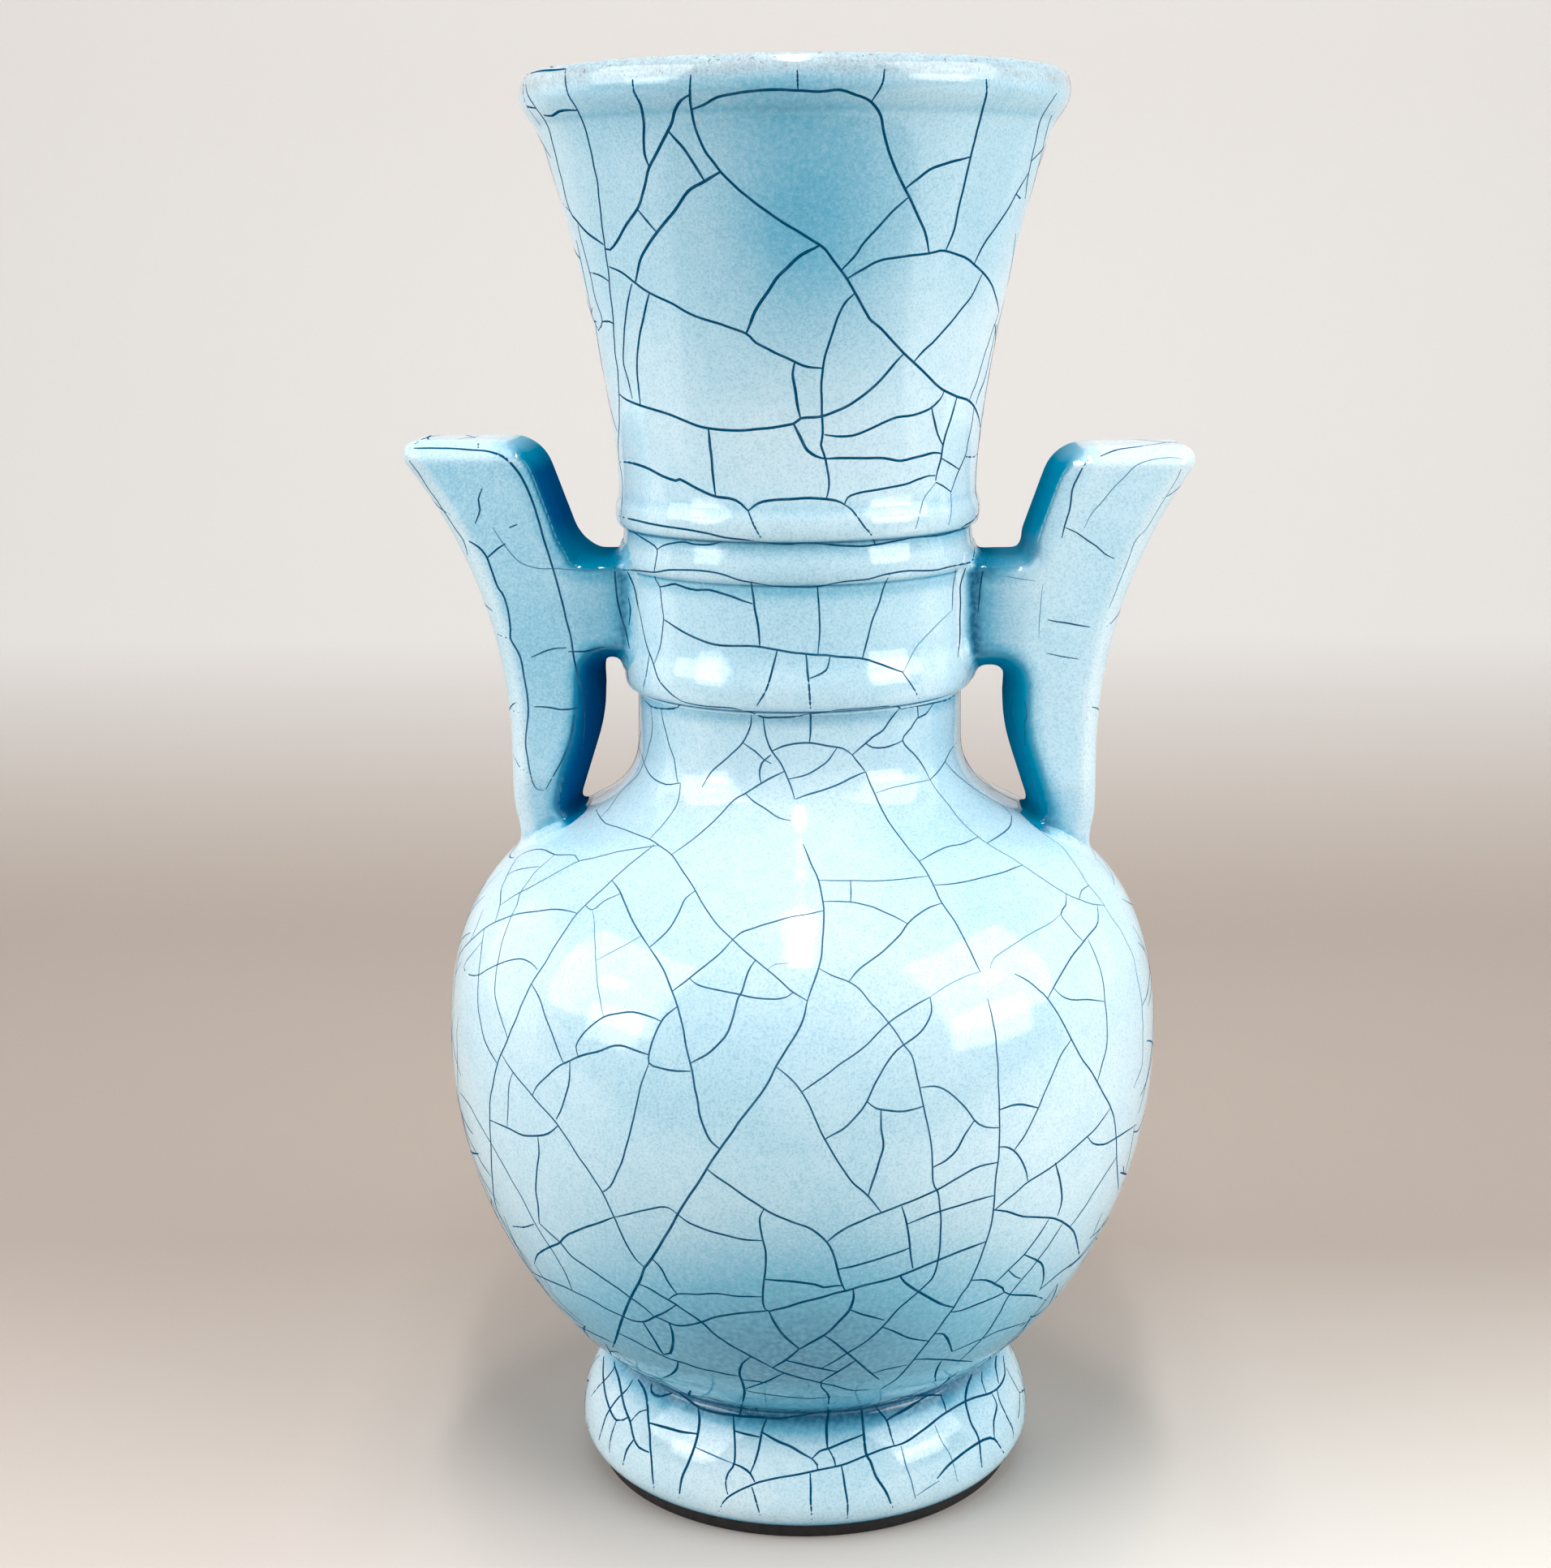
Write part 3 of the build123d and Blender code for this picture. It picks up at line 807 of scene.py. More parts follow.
# %% [markdown]
# ## Places on the wall
# From here on, things are laid on the wall that is already turned: deeper glaze, the handles and the cracks.
# A tree over its faces answers two questions quickly: where a ray meets the wall, and which of its points is
# nearest.

# %% A ray tree over the turned wall
def surface_tree(pieces):
    """One tree for rays and nearest points over several pieces."""
    points = []
    faces = []
    for piece in pieces:
        start = len(points)
        points += [vertex.co.copy() for vertex in piece.data.vertices]
        faces += [[start + i for i in face.vertices] for face in piece.data.polygons]
    return BVHTree.FromPolygons(points, faces)


wall = surface_tree(turned_sections.values())
print("wall tree ready")

# %% [markdown]
# ### Painted shade on the front
# Some places on the front are painted darker: under the lip, down the middle of the trumpet, on the drum, and
# low on the belly. This is partly deeper glaze and partly painted shade. Each patch is a pixel of the
# photograph, a width and a height in millimetres, and a depth that is added to `pool_and_shade`.

# %% Painted shade patches on the front
LIP_UNDER = 248.5 * MM
LIP_FADE = 2.5 * MM
FRONT_SHADE_PATCHES = [
    (860, 122, 20.0, 4.0, 0.20),
    (985, 190, 9.5, 16.0, 0.27),
    (985, 330, 9.0, 12.0, 0.20),
    (975, 760, 9.0, 8.0, 0.18),
    (950, 1640, 24.0, 14.0, 0.44),
]


def add_shade_patches(piece):
    """Adds painted shade, with some deeper glaze, to the pool_and_shade of a turned section near the patches.
    """
    values = piece.data.attributes["pool_and_shade"].data
    for x, y, width, height, depth in FRONT_SHADE_PATCHES:
        middle = wall.ray_cast(EYE, pixel_ray(x, y))[0]
        for i, vertex in enumerate(piece.data.vertices):
            if vertex.co.y < 0 and vertex.co.z < LIP_UNDER:
                away = vertex.co - middle
                reach = (away.x / (width * MM)) ** 2 + (away.z / (height * MM)) ** 2
                fade = min(1.0, (LIP_UNDER - vertex.co.z) / LIP_FADE)
                values[i].value += depth * fade * math.exp(-0.5 * reach)


for piece in turned_sections.values():
    add_shade_patches(piece)
print("patches added:", len(FRONT_SHADE_PATCHES))

# %% [markdown]
# ## The handles
# Each handle is a pressed fin with a flared horn, held to the neck by a strut. The solid has the right form
# but crisp roots and edges. Here a copy of it is sunk into the wall, remeshed as one skin, bevelled, smoothed
# and given a fillet where glaze and slip run out over the pot. First come the root and the fillet: how far a
# point stands off the wall says which of the two it belongs to.

# %% Root and fillet
ROOT_REACH = 0.95 * MM
ROOT_SINK = 2.2 * MM
FILLET = 2.6 * MM
LEAST_SIDEWAYS = 0.2
NEAR_WALL = 12 * MM


def off_wall(point):
    """The outward normal of the wall nearest to a point, and how far the point stands off it."""
    spot, normal = wall.find_nearest(point, NEAR_WALL)[:2]
    if spot is None:
        return None
    return normal, (point - spot).dot(normal)


def sunk_root(shape):
    """Moves the end faces of a handle from the slip into the wall."""
    for vertex in shape.verts:
        found = off_wall(vertex.co)
        if found and found[1] < ROOT_REACH:
            vertex.co -= found[0] * ROOT_SINK


def filleted(shape):
    """Pushes the skin out near the wall, so that it runs into the wall in a small round."""
    shape.normal_update()
    pushes = []
    for vertex in shape.verts:
        found = off_wall(vertex.co)
        if not found or found[1] > FILLET:
            continue
        normal, stand = found
        sideways = vertex.normal - normal * vertex.normal.dot(normal)
        if sideways.length < LEAST_SIDEWAYS:
            continue
        short = FILLET - max(stand, 0.0)
        push = FILLET - math.sqrt(max(FILLET ** 2 - short ** 2, 0.0))
        pushes.append((vertex, sideways.normalized() * push))
    for vertex, push in pushes:
        vertex.co += push
    return len(pushes)


print("fillet in mm:", round(FILLET / MM, 1))

# %% [markdown]
# ### Strut, horn and bevels
# The real strut lies level with the front of the fin, and its top and bottom differ a little from side to
# side. The edges of a handle are bevelled: broadly on the side of the neck, where a dark face shows, and
# narrowly outside. Two trees of points hold the outline of the handle, its neck side and the rest, so that
# each point can ask how far it is from either edge.

# %% Shape the strut, the horn and the bevels
HALF_DEPTH = 11.0
STRUT_ROOT = 26.5
STRUT_BURIED = 41.0
STRUT_HEIGHTS = {"left": (151.3, 169.2), "right": (149.5, 168.8)}
STRUT_ROOT_SHARE = {"left": 0.92, "right": 0.84}
STRUT_REACH = 38.0
SIDE_FACING = 0.4
NECK_FACING = 0.3
BEVEL_WIDTHS = [(118, 2.4), (144, 2.5), (152, 2.4), (156, 1.7), (165, 1.7), (168, 1.6), (176, 1.1)]
BEVEL_EDGES = [(118, 4.0), (144, 4.0), (152, 7.0), (167, 7.5), (176, 8.0)]
HORN_SHIFT = {"left": 0.0, "right": 1.9}
HORN_LOW = 168.0
HORN_HIGH = 172.0
HORN_REACH = 10.0
RIM_WIDTH = 2.6
RIM_EDGE = 8.4
CROWN_POWER = 1.3


def between(table, value):
    """A value read from a short table of steps, straight between its rows."""
    for (low, first), (high, second) in zip(table, table[1:]):
        if value <= high:
            return first + (second - first) * clamped((value - low) / (high - low))
    return table[-1][1]


def side_sign(side):
    """Which way a handle stands out along x."""
    return 1 if side == "right" else -1


def flush_strut(shape, side):
    """Adds a block that brings the strut level with the front and back of the fin."""
    low, high = STRUT_HEIGHTS[side]
    middle = Vector((side_sign(side) * (STRUT_ROOT + STRUT_BURIED) / 2, 0.0, (low + high) / 2)) * MM
    size = Vector((STRUT_BURIED - STRUT_ROOT, 2 * HALF_DEPTH, high - low)) * MM
    place = Matrix.Translation(middle) @ Matrix.Diagonal((*size, 1.0))
    for corner in bmesh.ops.create_cube(shape, size=1.0, matrix=place)["verts"]:
        if abs(corner.co.x) < abs(middle.x):
            corner.co.y *= STRUT_ROOT_SHARE[side]


def flat_place(vertex):
    """Where a point lies in the outline of a handle: out from the axis, and up."""
    return Vector((abs(vertex.co.x), 0.0, vertex.co.z)) / MM


def side_trees(shape):
    """The outline of a handle as two trees of points: the side that looks to the neck, and the rest."""
    shape.normal_update()
    sorted_points = {"inner": [], "outer": []}
    for vertex in shape.verts:
        found = off_wall(vertex.co)
        is_buried = found and found[1] < ROOT_REACH
        if abs(vertex.normal.y) < SIDE_FACING and not is_buried:
            place = flat_place(vertex)
            inward = -vertex.normal.x if vertex.co.x > 0 else vertex.normal.x
            is_inner = inward > NECK_FACING or place.x < STRUT_REACH
            sorted_points["inner" if is_inner else "outer"].append(place)
    trees = []
    for points in sorted_points.values():
        tree = KDTree(len(points))
        for i, point in enumerate(points):
            tree.insert(point, i)
        tree.balance()
        trees.append(tree)
    return trees


def horn_moved(shape, side):
    """Brings the neck side of a horn nearer to the neck, and leaves its outer edge in place."""
    if not HORN_SHIFT[side]:
        return
    inner_tree = side_trees(shape)[0]
    for vertex in shape.verts:
        place = flat_place(vertex)
        rise = clamped((place.z - HORN_LOW) / (HORN_HIGH - HORN_LOW))
        share = max(0.0, 1 - inner_tree.find(place)[2] / HORN_REACH)
        vertex.co.x -= math.copysign(HORN_SHIFT[side] * MM * rise * share, vertex.co.x)


def bevelled(depth_at_edge, gap, width):
    """The depth that a bevel leaves at a distance from its edge."""
    share = max(0.0, 1 - gap / width) ** CROWN_POWER
    return HALF_DEPTH - (HALF_DEPTH - depth_at_edge) * share


def crowned(shape):
    """Bevels the front and back of a handle: broadly on the side of the neck, narrowly outside."""
    inner_tree, outer_tree = side_trees(shape)
    for vertex in shape.verts:
        place = flat_place(vertex)
        nearest, _, inner_gap = inner_tree.find(place)
        height = nearest.z
        inner = bevelled(between(BEVEL_EDGES, height), inner_gap, between(BEVEL_WIDTHS, height))
        outer = bevelled(RIM_EDGE, outer_tree.find(place)[2], RIM_WIDTH)
        vertex.co.y *= min(inner, outer) / HALF_DEPTH


print("bevels of the handles in mm:", sorted({width for height, width in BEVEL_WIDTHS}), "and", RIM_WIDTH)

# %% [markdown]
# ### Melt the handle into one skin
# A voxel remesh joins fin, strut and root into one closed skin with even faces. It runs twice, with the
# bevels in between, so that the final faces lie evenly over them. The smoothing after each run does what the
# melted glaze does.

# %% Melt the handles into the wall
MELT_VOXEL = 0.5 * MM
MELT_PASSES = (2, 4)
MELT_EASE = 0.5
FILLET_PASSES = 2
FILLET_EASE = 0.4


def remeshed(shape, passes):
    """One skin over all the volumes of a shape, with even faces, eased by some passes of smoothing."""
    mesh = bpy.data.meshes.new("melting")
    shape.to_mesh(mesh)
    shape.free()
    rough = placed("melting", mesh)
    melt = rough.modifiers.new("melt", "REMESH")
    melt.mode = "VOXEL"
    melt.voxel_size = MELT_VOXEL
    ease = rough.modifiers.new("ease", "SMOOTH")
    ease.factor = MELT_EASE
    ease.iterations = passes
    return settled(rough)


def melted_handle(side):
    """A handle as one skin that runs into the wall."""
    shape = bmesh.new()
    shape.from_mesh(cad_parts[side + "_handle"].data)
    bmesh.ops.remove_doubles(shape, verts=shape.verts, dist=MERGE_GAP)
    sunk_root(shape)
    flush_strut(shape, side)
    for passes in MELT_PASSES:
        result = remeshed(shape, passes)
        shape = bmesh.new()
        shape.from_mesh(result)
        if passes == MELT_PASSES[0]:
            horn_moved(shape, side)
            crowned(shape)
    moved_points = filleted(shape)
    for _ in range(FILLET_PASSES):
        bmesh.ops.smooth_vert(
            shape, verts=shape.verts, factor=FILLET_EASE, use_axis_x=True, use_axis_y=True, use_axis_z=True)
    bmesh.ops.recalc_face_normals(shape, faces=shape.faces)
    for face in shape.faces:
        face.smooth = True
    shape.to_mesh(result)
    shape.free()
    piece = placed("glazed_" + side + "_handle", result)
    result.materials.clear()
    result.materials.append(HANDLE_GLAZE)
    print(piece.name, len(result.polygons), "faces,", moved_points, "points in the fillet")
    return piece


handles = {side: melted_handle(side) for side in ("left", "right")}

# %% [markdown]
# ### Glaze and painted shade on the handles
# The glaze on a handle is measured from the shape itself. A point that stands out from its neighbours is on
# an edge, and the glaze there lies thin. The bevels beside the neck are painted deep blue as shade, over some
# real pooling, most of all in the loop under the strut: these faces get `neck_shade_and_pool` and the finish
# without shine. Next to the wall the glaze is painted darker, partly pooled glaze and partly painted shade;
# along the crest of the bevels it is darker too; and the left panel is painted darker than the right as
# shade, because less light falls on it.

# %% Measure the glaze and paint the shade on the handles
EDGE_PASSES = 6
EDGE_FULL = 0.020 * MM
# Painted shade on the panels: the left panel is painted darker than the right, because less light falls on
# it.
PANEL_SHADE = {
    "left": [(128, 0.16), (140, 0.18), (158, 0.27), (172, 0.25), (188, 0.18)],
    "right": [(128, 0.04), (188, 0.04)],
}
# Near the wall the glaze is painted darker: partly glaze pooled at the root, partly painted shade where the
# strut turns towards the neck.
NECK_POOL_AND_SHADE = {"left": 0.55, "right": 1.15}
NECK_POOL_AND_SHADE_REACH = {"left": 6.0, "right": 11.0}
HANDLE_FOOT_TOP = 140.0
HANDLE_FOOT_POOL = 6.0
BEAD_LOW = 1.0 * MM
BEAD_HIGH = 2.0 * MM
CREST_BAND = [(118, 1.8), (150, 1.8), (170, 2.6), (176, 3.2)]
CREST_POOL = 0.2
# Painted shade on the bevels beside the neck, deepest in the loop under the strut.
RECESS_DEEP = {"left": 1.0, "right": 0.58}
RECESS_CREST = {"left": 0.7, "right": 0.4}
RECESS_SHARES = [(140, 1.0), (150, 1.0), (154, 0.9), (160, 0.4), (166, 0.5), (172, 0.8), (176, 1.0),
                 (184, 1.0), (189, 0.25)]
RECESS_END = 0.75
RECESS_FADE = 0.5
SHADE_SHARE = 0.7
RIM_PALE = {"left": 0.35, "right": 0.5}
RIM_REACH = 1.4
RIM_STEEP = 3
EDGE_THIN = 0.5
HOLLOW_POOL = 0.3


def edge_stand(shape):
    """How far each point stands out from its neighbours, averaged over its surroundings."""
    stand = []
    for vertex in shape.verts:
        ring = [edge.other_vert(vertex).co for edge in vertex.link_edges]
        middle = sum(ring, Vector()) / len(ring)
        stand.append((vertex.co - middle).dot(vertex.normal))
    for _ in range(EDGE_PASSES):
        stand = [
            sum((stand[edge.other_vert(vertex).index] for edge in vertex.link_edges), stand[vertex.index])
            / (len(vertex.link_edges) + 1) for vertex in shape.verts]
    return stand


def handle_attributes(piece, side):
    """Stores thin, pool_and_shade and neck_shade_and_pool on the points of a handle, and gives its shaded
    bevels their finish.
    """
    shape = bmesh.new()
    shape.from_mesh(piece.data)
    shape.normal_update()
    shape.verts.ensure_lookup_table()
    inner_tree, outer_tree = side_trees(shape)
    values = {"thin": [], "pool_and_shade": [], "neck_shade_and_pool": []}
    shares = []
    for vertex, edge in zip(shape.verts, edge_stand(shape)):
        place = flat_place(vertex)
        nearest, _, inner_gap = inner_tree.find(place)
        width = between(BEVEL_WIDTHS, nearest.z)
        along = min(1.0, inner_gap / width)
        over = clamped((inner_gap - RECESS_END * width) / (RECESS_FADE * width))
        shares.append(along)
        deep = RECESS_DEEP[side]
        neck_shade_and_pool = (deep + (RECESS_CREST[side] - deep) * along) * (1 - over * over * (3 - 2 * over))
        neck_shade_and_pool *= between(RECESS_SHARES, nearest.z)
        rim = min(1.0, RIM_STEEP * max(0.0, 1 - outer_tree.find(place)[2] / (RIM_REACH * RIM_WIDTH)))
        found = off_wall(vertex.co)
        near = 0.0
        if found:
            stood = max(found[1], 0.0)
            near = math.exp(-stood / (NECK_POOL_AND_SHADE_REACH[side] * MM)) * max(0.0, 1 - stood / NEAR_WALL)
            if place.z < HANDLE_FOOT_TOP:
                near *= max(0.0, 1 - inner_gap / HANDLE_FOOT_POOL)
            else:
                clear = clamped((stood - BEAD_LOW) / (BEAD_HIGH - BEAD_LOW))
                near *= clear
                neck_shade_and_pool *= clear
        thin = max(clamped(edge / EDGE_FULL) * EDGE_THIN, RIM_PALE[side] * rim)
        pool_and_shade = between(PANEL_SHADE[side], place.z) * (1 - rim) + NECK_POOL_AND_SHADE[side] * near
        band = (inner_gap - width) / between(CREST_BAND, nearest.z)
        pool_and_shade += CREST_POOL * max(0.0, 1 - max(0.0, band) ** 2)
        values["thin"].append(thin * (1 - neck_shade_and_pool))
        values["pool_and_shade"].append(min(1.0, pool_and_shade + clamped(-edge / EDGE_FULL) * HOLLOW_POOL))
        values["neck_shade_and_pool"].append(neck_shade_and_pool)
    shape.free()
    for name, numbers in values.items():
        made = piece.data.attributes.new(name, "FLOAT", "POINT")
        made.data.foreach_set("value", numbers)
    piece.data.materials.append(SHADE_GLAZE)
    for face in piece.data.polygons:
        if max(shares[i] for i in face.vertices) < SHADE_SHARE:
            face.material_index = 1
    print(piece.name, "glaze measured at", len(shares), "points")


for side, piece in handles.items():
    handle_attributes(piece, side)
    dress(piece, "handle_glaze", side + "_handle", side + "_neck_pad", side + "_shoulder_pad")

# %% [markdown]
# ## The crackle
# Every crack on the side that the photograph shows is given here as pixels of the photograph: x, y, x, y and
# so on, from one end of the crack to the other. A ray through each pixel finds the place on the pot, so the
# net lies on the real surface and looks right from any side. The cracks of a noise texture would look alike
# everywhere; these have their own long arcs, short ties and crossings.

# %% Cracks of the trumpet
FRONT_CRACKS = {}
FRONT_CRACKS["trumpet"] = [
    [697,85, 696,95, 700,117, 712,136, 722,160, 729,190, 735,220, 740,260, 745,300, 754,375, 758,430,
     763,486, 762,550, 766,585, 767,605, 765,636],
    [697,85, 683,86, 668,87, 650,92], [697,85, 702,80, 710,75],
    [648,105, 650,117, 660,132, 670,147, 677,163, 684,190, 693,225, 702,260, 712,273, 725,288, 744,302],
    [712,273, 716,295, 726,335, 734,370, 742,396, 735,411],
    [670,142, 680,143, 688,138, 700,136, 712,136], [645,125, 650,131, 660,133], [686,241, 694,251, 703,262],
    [726,336, 738,339, 751,347], [742,396, 751,396, 757,399],
    [779,98, 781,112, 790,130, 793,150, 793,175, 794,190, 800,206],
    [850,117, 840,123, 832,135, 828,150, 823,161, 812,182, 800,207, 793,235, 785,258, 770,280, 760,298,
     752,308, 746,307],
    [823,161, 838,178, 853,198, 867,222], [785,258, 797,272, 809,285],
    [851,92, 850,118, 852,135, 858,163, 870,187, 888,212, 910,233, 935,253, 965,274, 1010,302, 1025,318,
     1044,344, 1065,382, 1073,395, 1085,404, 1114,435, 1140,460, 1155,475, 1165,482, 1180,489, 1192,492,
     1200,500, 1206,515, 1208,530],
    [852,135, 867,129, 882,120, 900,116, 950,110, 983,112, 1010,113, 1035,111, 1055,117, 1073,126, 1085,143,
     1090,168, 1098,195, 1108,218, 1120,242, 1130,265, 1140,286, 1145,312],
    [888,212, 868,223, 848,236, 835,255, 820,273, 800,300, 790,318, 785,338, 783,349],
    [750,328, 765,335, 783,349, 800,361, 830,375, 857,390, 890,400, 919,411, 932,422, 950,432, 979,446,
     995,452, 1014,454],
    [779,350, 773,375, 770,400, 768,440, 769,452, 775,470, 779,492],
    [800,361, 793,390, 790,405, 786,430, 785,455, 787,480, 789,500],
    [1010,302, 985,316, 962,337, 945,360, 930,385, 919,411], [982,86, 983,112],
    [1090,85, 1087,103, 1073,126],
    [1120,242, 1100,260, 1085,277, 1065,298, 1055,313, 1037,333],
    [1116,232, 1130,221, 1145,209, 1165,202, 1196,193],
    [1215,98, 1215,115, 1208,145, 1196,193, 1182,252, 1175,285, 1165,309],
    [1044,344, 1060,333, 1080,323, 1100,318, 1145,312, 1163,309, 1188,317, 1200,326, 1211,336, 1222,352,
     1228,370, 1231,386],
    [1211,336, 1200,360, 1185,380, 1155,417, 1140,430, 1126,446],
    [1200,326, 1210,305, 1225,282, 1240,260, 1252,239, 1268,212],
    [1302,115, 1290,133, 1281,150, 1276,172, 1268,212, 1265,230, 1263,244],
    [1271,198, 1285,183, 1292,172], [1252,239, 1256,244, 1263,244],
    [1053,361, 1042,372, 1034,387, 1028,402, 1017,440, 1013,460, 1012,480, 1014,535, 1012,548, 1017,565,
     1021,585, 1021,602, 1018,615],
    [763,485, 772,493, 789,500, 815,508, 840,517, 865,526, 900,530, 945,528, 978,522, 987,516, 1013,513,
     1030,507, 1050,497, 1070,482, 1085,468, 1114,435],
    [873,527, 875,550, 879,590, 881,610],
    [760,569, 770,569, 782,571, 800,578, 820,588, 833,593, 838,591, 860,602, 880,611, 907,617, 922,629],
    [922,629, 928,645, 934,657, 941,667],
    [922,629, 935,620, 955,616, 985,614, 1010,614, 1030,617, 1041,622],
    [979,446, 977,460, 980,480, 983,500, 987,516], [978,522, 987,541, 995,555, 1005,562, 1017,565],
    [1016,536, 1030,538, 1050,537, 1070,529, 1090,520, 1105,514, 1125,511, 1145,504, 1158,492, 1163,482],
    [1148,502, 1150,515, 1155,535, 1161,548],
    [1179,489, 1173,510, 1167,530, 1162,548, 1158,570, 1153,592],
    [1017,565, 1050,564, 1090,565, 1110,568, 1130,563, 1150,558, 1160,559], [1160,565, 1170,571, 1181,578],
    [1153,594, 1162,599, 1172,606],
    [1041,622, 1045,613, 1055,608, 1080,603, 1115,597, 1130,591, 1145,586, 1153,586],
    [1041,622, 1050,628, 1058,640, 1065,650, 1074,660, 1079,671],
    [1200,500, 1197,525, 1192,545, 1190,560, 1182,578, 1172,606], [1190,563, 1200,563, 1206,555],
    [1195,493, 1203,470, 1212,440, 1222,410, 1231,386], [1203,498, 1208,480, 1216,455, 1228,400],
]
print("trumpet cracks:", len(FRONT_CRACKS["trumpet"]))

# %% Cracks of the neck, with the three ledges
FRONT_CRACKS["neck"] = [
    [762,636, 775,639, 800,645, 830,650, 870,657, 900,663, 941,668, 970,670, 1000,669, 1050,673, 1080,671,
     1100,667, 1130,662, 1165,658, 1185,650, 1200,641, 1206,632],
    [764,643, 775,652, 790,662, 802,669, 810,677, 808,690, 806,705, 808,715, 813,723, 816,745, 818,762,
     816,780, 812,800, 806,818],
    [810,677, 820,671, 840,668, 855,671, 875,671, 890,667],
    [766,702, 785,703, 806,705, 825,702, 850,702, 870,704, 890,708, 915,716, 945,721, 965,723, 1007,722,
     1040,717, 1070,713, 1095,707, 1120,703, 1150,703, 1170,698, 1195,693, 1200,685, 1201,676],
    [813,723, 822,721, 832,719, 845,724, 858,727, 872,727, 900,734, 915,740, 927,744],
    [926,719, 928,735, 930,750, 934,770, 936,797], [1007,722, 1009,750, 1010,780, 1008,806],
    [818,763, 835,774, 855,785, 880,794, 905,796, 930,796, 957,801, 993,806, 1023,808, 1063,812, 1078,816,
     1095,822, 1113,828],
    [1096,707, 1088,725, 1081,748, 1074,767, 1068,790, 1062,812],
    [957,801, 953,820, 944,850, 937,863, 930,874], [993,806, 995,825, 997,845, 999,890, 997,916],
    [1023,808, 1020,822, 1013,829, 998,836],
    [787,860, 795,863, 802,870, 815,873, 830,873, 838,868, 840,864],
    [840,864, 850,867, 870,870, 900,873, 925,877, 940,884, 955,884, 985,882, 1020,877, 1050,873, 1105,870,
     1110,873, 1130,870, 1150,866, 1170,861, 1183,850, 1187,838],
    [770,700, 780,720, 788,755, 795,790, 805,818, 812,838, 825,853, 840,864],
    [800,805, 797,825, 793,845, 795,863],
    [802,870, 804,890, 802,912, 795,935, 785,955, 765,975, 752,995, 740,1008],
    [814,873, 818,893, 824,915, 830,935, 835,965], [788,920, 794,942, 803,957, 820,966, 838,965],
    [838,965, 836,985, 830,998, 815,1018, 800,1034],
    [926,879, 925,893, 915,915, 900,930, 885,943, 875,953, 865,970], [915,915, 930,926, 942,937, 950,941],
    [940,884, 943,905, 951,925, 960,937, 967,950, 975,970, 979,985],
    [951,925, 965,919, 985,916, 1000,916, 1018,919, 1038,922, 1050,930],
    [1031,921, 1022,935, 1010,945, 995,954, 972,960], [950,930, 938,941, 936,955, 938,965],
    [980,985, 1000,978, 1030,968, 1050,958, 1066,951], [1050,930, 1065,950],
    [1108,873, 1098,885, 1088,900, 1075,908, 1066,916, 1050,930],
    [1066,916, 1075,921, 1090,921, 1105,916, 1112,912],
    [1150,866, 1140,880, 1130,885, 1122,897, 1112,912, 1125,928, 1138,945, 1146,960], [1130,870, 1131,885],
    [1112,828, 1122,843, 1130,855, 1134,866], [1178,700, 1174,730, 1173,752],
    [1190,700, 1184,720, 1183,750, 1182,790, 1180,810],
    [1183,910, 1170,925, 1164,938, 1155,952, 1146,961], [1164,938, 1180,955, 1205,975, 1235,993, 1246,1005],
]
print("neck cracks:", len(FRONT_CRACKS["neck"]))

